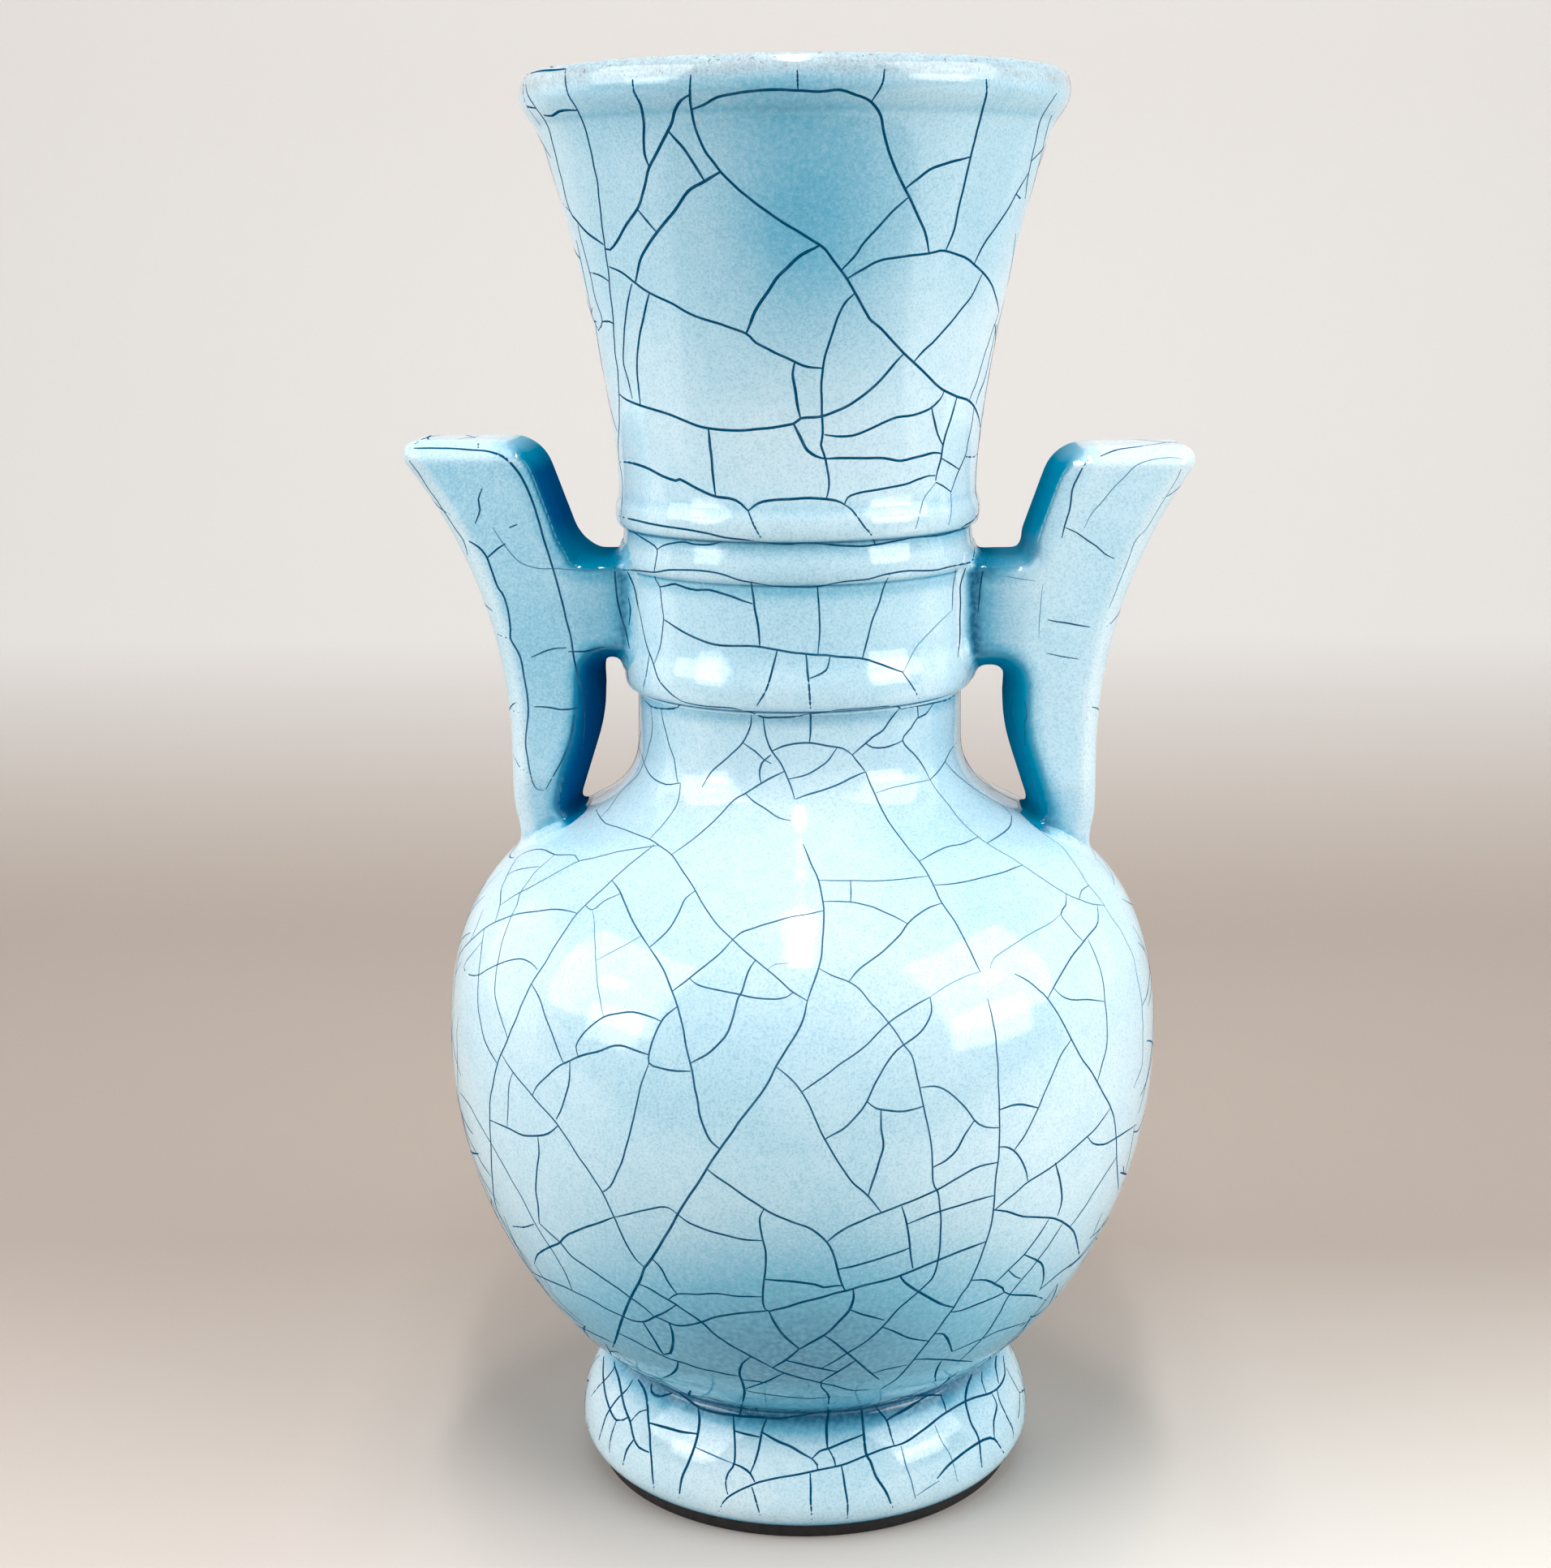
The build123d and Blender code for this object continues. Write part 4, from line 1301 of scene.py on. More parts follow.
# %% Cracks of the shoulder
FRONT_CRACKS["shoulder"] = [
    [733,993, 738,1005, 746,1015, 760,1019, 782,1027, 800,1034, 812,1042, 827,1053, 842,1075, 857,1098,
     870,1120, 885,1140, 903,1158, 931,1183, 960,1207, 976,1222, 995,1233],
    [967,950, 945,961, 918,978, 905,986, 888,1003, 870,1020, 850,1037, 827,1053],
    [918,978, 930,988, 945,998, 960,1008, 975,1012],
    [806,1041, 785,1058, 765,1075, 735,1102, 721,1115, 710,1127, 695,1148, 675,1180, 655,1212, 645,1232,
     626,1280, 613,1312, 607,1338, 604,1355, 604,1410, 608,1470, 612,1490, 622,1508, 627,1518],
    [812,1042, 790,1045, 760,1050, 730,1057, 713,1061, 690,1073, 660,1090, 642,1099, 616,1115],
    [713,1061, 708,1054, 695,1053, 683,1053, 672,1048, 660,1047, 645,1051, 638,1056, 630,1070, 622,1085,
     617,1097, 616,1115, 610,1136],
    [683,1053, 672,1063, 662,1072, 650,1087, 642,1099, 637,1115, 630,1128, 622,1150, 615,1175, 610,1215,
     613,1240, 626,1280],
    [664,1068, 650,1069, 635,1073, 626,1078],
    [711,1125, 700,1122, 680,1121, 645,1124, 630,1128, 610,1136, 595,1145, 585,1155, 570,1170, 562,1185],
    [754,1085, 763,1097, 770,1113, 780,1135, 790,1153, 800,1167], [765,1101, 745,1110, 729,1121, 721,1115],
    [857,1098, 845,1107, 838,1122, 828,1140, 818,1152, 800,1167],
    [800,1167, 812,1185, 822,1205, 835,1240, 845,1285, 854,1325, 858,1350, 863,1375, 870,1395, 878,1408,
     888,1416],
    [903,1158, 890,1172, 870,1189, 850,1205, 828,1222], [903,1158, 915,1148, 930,1143, 970,1131, 1015,1122],
    [931,1183, 922,1197, 914,1222, 909,1230, 904,1250, 896,1272, 885,1287, 870,1300, 851,1310],
    [850,1206, 858,1213, 875,1218, 910,1225, 930,1229, 955,1231, 970,1228, 977,1223],
    [655,1212, 665,1232, 673,1255, 690,1300, 695,1311],
    [662,1195, 655,1187, 645,1182, 635,1182, 620,1186, 600,1195, 590,1201, 578,1201, 572,1195, 575,1185,
     594,1161],
    [596,1145, 594,1165, 590,1200, 589,1230, 592,1258, 597,1280, 605,1298, 614,1312],
    [695,1311, 712,1302, 735,1296, 752,1290, 765,1289, 780,1293, 800,1300],
    [712,1302, 710,1290, 716,1278, 725,1267, 744,1253, 760,1249, 780,1247, 800,1252, 815,1259],
    [835,1240, 822,1250, 815,1259, 807,1275, 802,1290, 800,1310, 812,1316, 830,1319, 851,1320],
    [596,1120, 588,1118, 578,1120], [596,1120, 588,1140, 580,1160],
    [1066,951, 1073,967, 1090,1003, 1115,1040, 1133,1061, 1150,1090, 1161,1113, 1175,1133, 1187,1155,
     1208,1197],
    [1146,960, 1155,975, 1170,993, 1185,1013, 1205,1031, 1216,1039, 1260,1066, 1285,1083, 1314,1101,
     1330,1108, 1345,1114, 1360,1115],
    [1246,1005, 1245,1017, 1237,1026, 1216,1039], [1205,1031, 1185,1040, 1170,1043, 1152,1050, 1133,1061],
    [1260,1066, 1240,1073, 1210,1081, 1180,1088, 1150,1091],
    [1008,1085, 1048,1085, 1090,1085, 1120,1082, 1143,1080],
    [1048,1085, 1048,1111], [1014,1111, 1048,1111, 1065,1115, 1085,1121, 1118,1138],
    [1161,1113, 1145,1118, 1132,1126, 1118,1138, 1108,1152, 1090,1170, 1060,1193, 1046,1210],
    [990,1040, 1000,1065, 1008,1085, 1015,1120, 1015,1145, 1013,1170, 1008,1193, 995,1233],
    [1008,1193, 1025,1202, 1046,1210, 1060,1220, 1075,1238, 1095,1260, 1114,1287, 1123,1300, 1128,1320,
     1138,1363, 1147,1410, 1150,1455, 1156,1470, 1158,1490, 1159,1515, 1156,1552, 1150,1572, 1140,1584,
     1110,1610, 1080,1642, 1060,1658, 1043,1668, 1013,1686],
    [1146,1228, 1130,1237, 1096,1260, 1080,1275, 1065,1290, 1030,1315, 988,1345],
    [1146,1228, 1148,1245, 1142,1260, 1130,1275, 1114,1287, 1100,1300, 1085,1322, 1068,1357, 1055,1375,
     1040,1390, 1016,1404],
    [1314,1101, 1313,1115, 1307,1126, 1320,1145, 1335,1160], [1342,1091, 1333,1097, 1330,1108],
    [1352,1115, 1353,1130, 1350,1142, 1335,1160, 1320,1180, 1308,1200, 1291,1230],
    [1340,1157, 1350,1177, 1357,1200, 1361,1225, 1364,1265, 1363,1290, 1357,1315, 1352,1332],
    [1298,1217, 1308,1227, 1320,1232, 1340,1232, 1361,1234],
    [1250,1200, 1265,1208, 1280,1220, 1291,1230, 1310,1262, 1330,1300, 1345,1322, 1358,1345, 1368,1365,
     1374,1385, 1376,1440, 1378,1466],
    [1319,1280, 1308,1300, 1289,1343, 1268,1390, 1255,1410, 1249,1418],
    [1217,1230, 1222,1250, 1227,1280, 1230,1330, 1232,1390, 1231,1412, 1226,1460, 1223,1500, 1214,1532,
     1196,1578, 1185,1595, 1160,1632, 1135,1664, 1115,1689, 1105,1699, 1085,1712],
    [1360,1115, 1370,1130, 1385,1155, 1395,1175, 1400,1200, 1407,1240, 1408,1280, 1407,1310, 1397,1340],
    [1417,1200, 1413,1225, 1407,1240], [1255,1000, 1290,1030, 1310,1045, 1325,1065, 1342,1091, 1362,1117],
]
print("shoulder cracks:", len(FRONT_CRACKS["shoulder"]))

# %% Cracks of the belly
FRONT_CRACKS["belly"] = [
    [619,1300, 632,1321, 656,1350, 688,1387, 715,1428, 742,1468, 757,1500, 772,1532, 783,1550, 794,1562],
    [632,1321, 627,1335, 626,1360, 625,1390],
    [604,1380, 612,1383, 640,1397, 655,1400, 670,1399, 680,1394, 688,1387],
    [656,1350, 662,1338, 675,1325, 690,1313, 712,1302], [702,1308, 702,1325, 698,1345, 692,1365, 685,1379],
    [663,1401, 664,1420, 660,1460, 663,1485, 665,1507],
    [800,1310, 790,1335, 787,1350, 783,1370, 768,1425, 760,1445, 752,1462, 742,1469],
    [995,1233, 990,1255, 980,1275, 957,1313, 940,1345, 920,1370, 888,1415, 855,1465, 835,1497, 803,1551,
     794,1562, 788,1580, 777,1600, 768,1622, 755,1660],
    [757,1500, 780,1494, 800,1490, 815,1487, 825,1489, 835,1497],
    [757,1500, 735,1508, 700,1521, 690,1531, 675,1537, 663,1545, 659,1557],
    [835,1497, 850,1507, 870,1515, 895,1522, 920,1528, 940,1529],
    [872,1441, 890,1454, 930,1482, 955,1497, 975,1505, 1000,1514, 1018,1531, 1028,1548, 1036,1580,
     1041,1590],
    [941,1489, 936,1500, 937,1515, 940,1529, 944,1550, 940,1598, 943,1613, 948,1616],
    [948,1616, 955,1630, 965,1645, 984,1662], [803,1551, 815,1563, 823,1580, 834,1595],
    [824,1601, 834,1595, 860,1595, 885,1594, 910,1597, 940,1598],
    [788,1582, 805,1591, 835,1609, 865,1629, 880,1644, 900,1657, 952,1685],
    [565,1345, 580,1365, 605,1410, 635,1462, 663,1513, 693,1562, 705,1590],
    [665,1507, 690,1531, 705,1548, 725,1563, 765,1590, 795,1612, 806,1622],
    [650,1563, 670,1575, 705,1590, 745,1611, 767,1622, 780,1627, 795,1628, 806,1623, 820,1617, 833,1608],
    [806,1622, 815,1625, 828,1631, 840,1633, 865,1629, 880,1623, 900,1619, 948,1615],
    [793,1629, 800,1640, 808,1653, 818,1669, 826,1667, 829,1655, 828,1640, 825,1630],
    [762,1642, 780,1652, 818,1671, 860,1685, 885,1691, 910,1695], [627,1518, 632,1511, 645,1512, 658,1508],
    [562,1345, 569,1375, 578,1403, 590,1427, 605,1450], [690,1615, 710,1632, 735,1645, 755,1655],
    [627,1518, 635,1533, 648,1550, 655,1560], [659,1557, 670,1575, 680,1590],
    [925,1672, 915,1680, 911,1692, 914,1702, 917,1715, 914,1730, 911,1745],
    [952,1685, 967,1692, 990,1698], [984,1662, 970,1675, 952,1685],
    [835,1677, 834,1686, 828,1693, 818,1697],
    [917,1711, 940,1704, 967,1692], [912,1699, 930,1702, 945,1704],
    [917,1713, 940,1717, 990,1723, 1020,1722],
    [957,1315, 975,1330, 988,1345, 998,1362, 1006,1383, 1016,1404, 1045,1450, 1060,1465, 1070,1474,
     1086,1494],
    [1068,1357, 1080,1366, 1095,1369, 1110,1370, 1125,1367, 1138,1363],
    [1086,1368, 1086,1390, 1088,1412, 1082,1435, 1070,1473],
    [1134,1340, 1145,1338, 1158,1340, 1175,1350, 1190,1365, 1201,1381, 1212,1388, 1231,1389],
    [1201,1381, 1190,1397, 1178,1418, 1165,1430, 1150,1438], [1232,1367, 1245,1363, 1260,1361, 1279,1365],
    [1231,1413, 1240,1413, 1249,1418, 1258,1428, 1263,1440, 1266,1455],
    [1018,1531, 1035,1518, 1060,1505, 1086,1494, 1130,1477, 1155,1466, 1200,1440, 1228,1432],
    [1225,1473, 1200,1480, 1158,1493, 1118,1508], [1111,1486, 1115,1500, 1119,1520, 1125,1563],
    [1214,1530, 1195,1537, 1155,1553, 1115,1570, 1090,1578, 1043,1590, 995,1603, 948,1616],
    [1121,1538, 1105,1544, 1055,1559, 1033,1564], [942,1576, 960,1578, 1003,1582, 1015,1586, 1038,1584],
    [1051,1588, 1052,1600, 1047,1614, 1035,1627, 1015,1645, 985,1662], [1047,1614, 1065,1620, 1089,1627],
    [1086,1635, 1105,1642, 1125,1650, 1145,1652], [1110,1572, 1115,1580, 1145,1599, 1160,1607, 1175,1610],
    [1172,1616, 1185,1614, 1205,1607, 1238,1592, 1228,1583, 1215,1578, 1196,1577],
    [1223,1491, 1240,1493, 1260,1499, 1300,1502, 1318,1512, 1325,1525, 1330,1550],
    [1368,1365, 1355,1383, 1340,1400, 1300,1435, 1267,1456, 1250,1470, 1225,1492],
    [1300,1433, 1306,1455, 1308,1478, 1303,1498], [1292,1503, 1280,1522, 1265,1542, 1243,1565, 1225,1582],
    [1310,1507, 1295,1530, 1278,1553, 1243,1597, 1230,1620, 1210,1650, 1180,1678],
    [1262,1546, 1278,1553, 1285,1560, 1285,1577, 1281,1590], [1243,1566, 1250,1573, 1257,1576],
    [1238,1592, 1245,1595, 1275,1597, 1288,1602], [1318,1512, 1330,1497, 1360,1450, 1376,1425],
    [1340,1400, 1347,1409, 1360,1410, 1375,1402, 1400,1385], [1153,1643, 1163,1644, 1170,1655, 1173,1665],
    [1280,1590, 1300,1573, 1325,1553, 1345,1530, 1365,1500], [1173,1665, 1210,1650, 1230,1640, 1262,1630],
    [1126,1675, 1160,1675, 1197,1678], [1015,1645, 1030,1655, 1055,1676, 1083,1700],
    [967,1676, 1000,1684, 1032,1690], [1055,1676, 1040,1685, 1012,1702], [1075,1692, 1090,1688, 1118,1682],
    [960,1690, 985,1697, 1030,1708, 1050,1713, 1070,1712],
    [1012,1702, 1012,1708, 1020,1717, 1022,1722, 1020,1735, 1022,1738],
    [1160,1677, 1155,1685, 1152,1695, 1154,1708],
]
print("belly cracks:", len(FRONT_CRACKS["belly"]))

# %% Cracks of the foot
FRONT_CRACKS["foot"] = [
    [800,1700, 820,1707, 840,1718, 860,1733, 880,1740, 911,1745, 945,1747, 975,1746, 1022,1738, 1045,1738,
     1062,1736, 1085,1729, 1110,1722, 1141,1719, 1160,1720],
    [753,1665, 757,1683, 748,1697, 738,1708, 729,1720],
    [744,1672, 743,1695, 745,1712, 752,1737, 760,1750, 768,1750, 775,1746],
    [757,1683, 762,1700, 770,1735, 776,1752, 780,1770, 787,1783, 800,1790],
    [780,1700, 772,1712, 762,1722, 752,1736, 745,1750, 738,1775],
    [787,1700, 795,1715, 798,1735, 802,1790, 805,1834], [798,1737, 788,1740, 776,1753],
    [760,1750, 753,1770, 751,1790], [781,1773, 772,1787, 767,1805],
    [800,1753, 815,1757, 835,1763, 859,1767],
    [860,1735, 862,1750, 860,1767, 856,1783, 848,1802, 840,1822, 836,1846],
    [904,1745, 905,1770, 905,1802, 897,1815, 894,1828, 897,1842], [905,1763, 918,1767, 935,1770],
    [945,1747, 938,1764, 935,1785, 930,1803, 925,1815], [938,1764, 955,1774, 975,1783, 1000,1797],
    [903,1803, 915,1808, 925,1816, 930,1826],
    [886,1862, 892,1850, 905,1840, 925,1830, 945,1824, 1000,1813, 1030,1807, 1050,1801, 1080,1788,
     1108,1780],
    [926,1832, 932,1850, 936,1868], [998,1815, 999,1840, 1000,1872],
    [803,1705, 803,1715, 812,1720, 828,1716],
    [1022,1738, 1018,1755, 1018,1770, 1020,1785], [1000,1797, 1010,1788, 1021,1785, 1040,1777, 1064,1767],
    [1062,1736, 1063,1755, 1067,1790, 1072,1800, 1080,1820, 1092,1840, 1100,1858],
    [1021,1785, 1028,1797, 1030,1806],
    [1000,1797, 1007,1805, 1008,1812], [1037,1806, 1041,1830, 1045,1855, 1044,1871],
    [1079,1732, 1087,1743, 1093,1752, 1102,1782], [1093,1750, 1110,1740, 1142,1720],
    [1102,1782, 1120,1775, 1150,1752, 1166,1740, 1192,1725, 1220,1716, 1232,1707, 1238,1692, 1236,1670],
    [1158,1720, 1163,1730, 1166,1740],
    [1155,1822, 1170,1805, 1190,1788, 1205,1778, 1215,1773, 1225,1773, 1237,1790],
    [1198,1693, 1192,1710, 1190,1727, 1195,1750, 1205,1772, 1210,1808], [1210,1690, 1210,1703, 1215,1717],
    [1222,1717, 1228,1730, 1225,1750, 1225,1773], [1228,1712, 1232,1727, 1240,1745, 1247,1760, 1248,1772],
    [1228,1670, 1227,1685, 1230,1705], [1240,1685, 1248,1700, 1256,1716, 1264,1711],
    [1256,1716, 1256,1735, 1254,1748],
]
print("foot cracks:", len(FRONT_CRACKS["foot"]))

# %% Cracks of the handles
FRONT_CRACKS["left_handle"] = [
    [511,547, 520,541, 535,537, 560,535, 580,537, 588,542, 589,552],
    [577,667, 590,675, 600,687, 605,700, 613,722, 622,737, 629,775, 629,787, 640,807, 645,830, 651,873,
     648,915, 650,935, 655,962, 662,972, 670,974],
    [600,687, 612,677, 623,670], [594,602, 589,615, 591,628, 585,645], [627,650, 637,646],
    [655,810, 670,803, 685,799, 698,798], [658,871, 675,872, 690,874, 705,873, 718,870],
    [707,880, 704,905, 695,930, 685,950, 672,973], [609,779, 618,784, 629,788], [626,868, 633,876, 645,878],
    [632,930, 640,945, 650,952],
    [497,556, 508,573, 520,590, 535,612, 550,635, 560,650, 570,665, 576,683, 574,695],
    [498,552, 530,552, 560,553, 590,555, 612,559, 625,566, 635,577, 645,592, 652,608, 661,632, 668,658,
     675,680, 683,705, 690,730, 697,758, 703,785, 708,815, 715,845, 720,870, 720,900, 718,925],
    [757,688, 758,715, 761,740, 766,762, 772,780, 776,800], [774,736, 777,752, 775,770],
    [700,803, 722,802, 745,797],
]
FRONT_CRACKS["left_faint"] = [
    [607,650, 622,672, 640,692, 660,700, 690,701, 720,702, 745,701],
]
FRONT_CRACKS["right_handle"] = [
    [1355,562, 1375,555, 1400,551, 1425,547, 1441,545, 1455,547, 1465,550],
    [1313,650, 1325,656, 1340,666, 1352,673, 1362,682, 1373,688],
    [1341,567, 1333,578, 1327,590, 1321,603, 1318,625, 1313,645, 1308,663],
    [1292,764, 1308,767, 1322,769, 1343,773],
    [1290,805, 1310,809, 1329,812], [1262,863, 1265,880, 1262,895, 1263,918],
    [1247,860, 1246,880, 1255,915, 1268,945, 1276,970, 1280,985],
    [1397,535, 1400,545], [1323,550, 1330,556], [1217,688, 1211,705, 1207,730, 1205,755],
]
FRONT_CRACKS["right_faint"] = [
    [1335,651, 1345,633, 1358,618, 1372,602, 1385,588, 1398,575, 1412,568, 1430,565, 1445,564, 1456,566],
    [1458,570, 1453,585, 1442,603, 1432,620, 1420,640, 1412,652, 1400,665, 1390,690, 1378,720, 1366,750],
    [1285,720, 1283,740, 1281,760, 1280,785], [1240,710, 1258,713, 1276,716],
]
print("handle cracks:", len(FRONT_CRACKS["left_handle"]) + len(FRONT_CRACKS["right_handle"]))

# %% Cracks that are only just seen
FRONT_CRACKS["faint"] = [
    # Most of these lie under highlights on the glaze; their threads are painted paler as a painted highlight.
    [1153,594, 1140,612, 1135,625, 1130,645, 1123,662], [1172,606, 1172,630, 1167,657],
    [1113,828, 1120,813, 1130,797, 1150,775, 1172,753], [1079,977, 1100,970, 1130,964, 1146,961],
    [729,1121, 732,1140, 735,1200, 740,1235, 744,1253], [790,1153, 770,1165, 735,1183],
    [946,1195, 955,1188, 975,1186],
    [1208,1197, 1190,1203, 1170,1213, 1146,1228],
    [1307,1126, 1295,1137, 1275,1147, 1255,1160, 1225,1180, 1220,1193],
    [856,1783, 870,1789, 888,1797, 903,1803], [1110,1782, 1115,1800, 1122,1822, 1130,1852],
    [1150,1752, 1160,1775, 1172,1795, 1180,1825], [1130,1843, 1145,1833, 1158,1825],
]
print("faint cracks:", len(FRONT_CRACKS["faint"]))

# %% [markdown]
# ### From pixels to the pot
# Each crack becomes a smooth path through its pixels, with a slight tremble, and is cast onto the pot step by
# step. Where the ray jumps from one surface to another, the path is cut. The noise of the tremble starts from
# a fixed seed, because Blender would take the time of day instead, and no two runs would be the same.

# %% Cast the cracks onto the pot
PIXEL_STEP = 6.0
TREMBLE_PIXELS = 1.0
TREMBLE_SCALE = 0.045
TREMBLE_SEED = 4
DEPTH_JUMP = 4 * MM
SHORTEST_RUN = 3

noise.seed_set(TREMBLE_SEED)
pot = surface_tree(list(turned_sections.values()) + list(handles.values()))


def smooth_path(points):
    """Even steps along a Catmull-Rom curve through the points."""
    path = []
    ends = [points[0] * 2 - points[1]] + points + [points[-1] * 2 - points[-2]]
    for a, b, c, d in zip(ends, ends[1:], ends[2:], ends[3:]):
        steps = max(1, round((c - b).length / PIXEL_STEP))
        for i in range(steps):
            t = i / steps
            bend = (b * 3 - c * 3 + d - a) * t ** 3 + (a * 2 - b * 5 + c * 4 - d) * t ** 2
            path.append((bend + (c - a) * t) * 0.5 + b)
    return path + [points[-1]]


def cast(crack):
    """Runs of places and normals on the pot under one crack of the photograph."""
    pixels = [Vector((x, y, 0.0)) for x, y in zip(crack[::2], crack[1::2])]
    runs = [[]]
    last = None
    for pixel in smooth_path(pixels):
        pixel = pixel + noise.noise_vector(pixel * TREMBLE_SCALE) * TREMBLE_PIXELS
        spot, normal, _, distance = pot.ray_cast(EYE, pixel_ray(pixel.x, pixel.y))
        if spot is None or (last is not None and abs(distance - last) > DEPTH_JUMP):
            runs.append([])
        if spot is not None:
            runs[-1].append((spot, normal))
        last = distance
    return [run for run in runs if len(run) >= SHORTEST_RUN]


cast_runs = {}
for name, cracks in FRONT_CRACKS.items():
    cast_runs[name] = [run for crack in cracks for run in cast(crack)]
    print(name, "runs on the pot:", len(cast_runs[name]))

# %% [markdown]
# ### Cracks on the far side
# The photograph shows one side. On the other, cracks are grown as glass really breaks: a sheet under strain
# splits across its longest way, and then each half splits again, until the pieces are small enough to hold.
# The sheet is the unrolled wall, with the angle one way and the length along the line the other. It comes in
# bands, each from one place along the line to another, with the area in square millimetres that holds at a
# height. Foot and lower belly break small, shoulder and trumpet break large, as on the side that is seen.

# %% The unrolled wall
INSIDE_DEPTH = 60.0
distance_along = [0.0]
for a, b in zip(soft, soft[1:]):
    distance_along.append(distance_along[-1] + (b - a).length)


def wall_point(along):
    """Radius and height on the glazed line at a distance along it."""
    low = 0
    high = len(distance_along) - 1
    while high - low > 1:
        middle = (low + high) // 2
        if distance_along[middle] <= along:
            low = middle
        else:
            high = middle
    gap = distance_along[high] - distance_along[low]
    return soft[low].lerp(soft[high], (along - distance_along[low]) / gap)


def along_of(section):
    """How far along the line a section starts."""
    return distance_along[sections.index(section)]


LIP_ALONG = distance_along[lip]
BANDS = [
    (1.0, along_of("lower_belly") - 0.4, [(0, 34.0), (30, 40.0)]),
    (along_of("lower_belly") + 0.4, along_of("neck_drum") - 0.4,
     [(22, 70.0), (60, 120.0), (100, 190.0), (145, 110.0)]),
    (along_of("neck_drum") + 0.5, along_of("neck_collar") - 0.3, [(146, 120.0), (167, 120.0)]),
    (along_of("neck_collar") + 0.3, along_of("trumpet_mouth") - 0.3, [(167, 110.0), (175, 110.0)]),
    (along_of("trumpet_mouth") + 0.5, LIP_ALONG, [(175, 130.0), (200, 240.0), (250, 260.0)]),
    (LIP_ALONG, LIP_ALONG + INSIDE_DEPTH, [(180, 260.0), (250, 240.0)]),
]
print("line length in mm:", round(LIP_ALONG, 1), "to the crest of the lip")

# %% [markdown]
# ### Splitting the sheet
# A piece that is too large is cut near its middle, across its longest way, with some swing. The cut is gently
# bowed, and both halves keep the bow, so that later cracks end on it exactly. The corners under the ledges
# get one crack each, all the way round, because the glaze breaks there first.

# %% Split the wall until the pieces hold
CUT_SWING = 0.55
CUT_BULGE = 0.16
CUT_STEP = 1.2
PIVOT_SPREAD = 0.16
HOLDING_SPREAD = (0.7, 1.9)
TRIES = 8
far_random = random.Random(23)


def flat_polygon(polygon):
    """The polygon in millimetres about its middle, with the middle and the local radius."""
    count = len(polygon)
    middle = sum(polygon, Vector((0.0, 0.0))) / count
    radius = wall_point(middle.y).x
    return [Vector(((p.x - middle.x) * radius, p.y - middle.y)) for p in polygon], middle, radius


def area_of(points):
    """The area inside a polygon."""
    return abs(sum(a.x * b.y - b.x * a.y for a, b in zip(points, points[1:] + points[:1]))) / 2


def long_way(points):
    """The direction in which the points spread furthest."""
    xx = sum(p.x * p.x for p in points)
    yy = sum(p.y * p.y for p in points)
    xy = sum(p.x * p.y for p in points)
    return 0.5 * math.atan2(2 * xy, xx - yy)


def split(points, pivot, angle):
    """Two halves of a polygon either side of a line, or nothing if the line crosses it more than twice."""
    across = Vector((math.cos(angle), math.sin(angle)))
    sides = [(p - pivot).dot(across) for p in points]
    halves = ([], [])
    crossings = []
    for i, p in enumerate(points):
        q = points[(i + 1) % len(points)]
        side = sides[i]
        other = sides[(i + 1) % len(points)]
        halves[0 if side < 0 else 1].append(p)
        if (side < 0) != (other < 0):
            cross = p.lerp(q, side / (side - other))
            crossings.append(cross)
            halves[0].append(cross)
            halves[1].append(cross)
    return (halves, crossings) if len(crossings) == 2 else None


def cut_path(start, end):
    """A gently bowed crack between two points."""
    way = end - start
    bow = Vector((-way.y, way.x)) * far_random.uniform(-CUT_BULGE, CUT_BULGE)
    steps = max(3, int(way.length / CUT_STEP))
    return [start + way * (i / steps) + bow * math.sin(math.pi * i / steps) for i in range(steps + 1)]


def with_path(half, path):
    """A half of a polygon with the bowed crack in place of its straight cut."""
    result = []
    for i, p in enumerate(half):
        q = half[(i + 1) % len(half)]
        result.append(p)
        if p == path[0] and q == path[-1]:
            result += path[1:-1]
        elif p == path[-1] and q == path[0]:
            result += path[-2:0:-1]
    return result


def grow_cracks(polygon, sizes, found):
    """Splits a piece of the wall until it is small, and notes each crack."""
    points, middle, radius = flat_polygon(polygon)
    limit = between(sizes, wall_point(middle.y).y) * far_random.uniform(*HOLDING_SPREAD)
    if area_of(points) < limit:
        return
    for _ in range(TRIES):
        angle = long_way(points) + far_random.uniform(-CUT_SWING, CUT_SWING)
        spread = math.sqrt(area_of(points)) * PIVOT_SPREAD
        pivot = Vector((far_random.uniform(-spread, spread), far_random.uniform(-spread, spread)))
        result = split(points, pivot, angle)
        if result:
            break
    if not result:
        return
    halves, crossings = result
    path = cut_path(*crossings)

    def unflat(p):
        return Vector((p.x / radius + middle.x, p.y + middle.y))

    found.append([unflat(p) for p in path])
    for half in halves:
        grow_cracks([unflat(p) for p in with_path(half, path)], sizes, found)


FRONT = -math.pi / 2
EDGE_POINTS = 40
LEDGES = ["lower_belly", "neck_drum", "neck_collar", "trumpet_mouth"]
LEDGE_STEPS = 300
LEDGE_SWAY = 0.35
LEDGE_WAVES = 3


def round_turn(steps):
    """Angles once round the pot, from the front back to the front."""
    return [FRONT + 2 * math.pi * i / steps for i in range(steps + 1)]


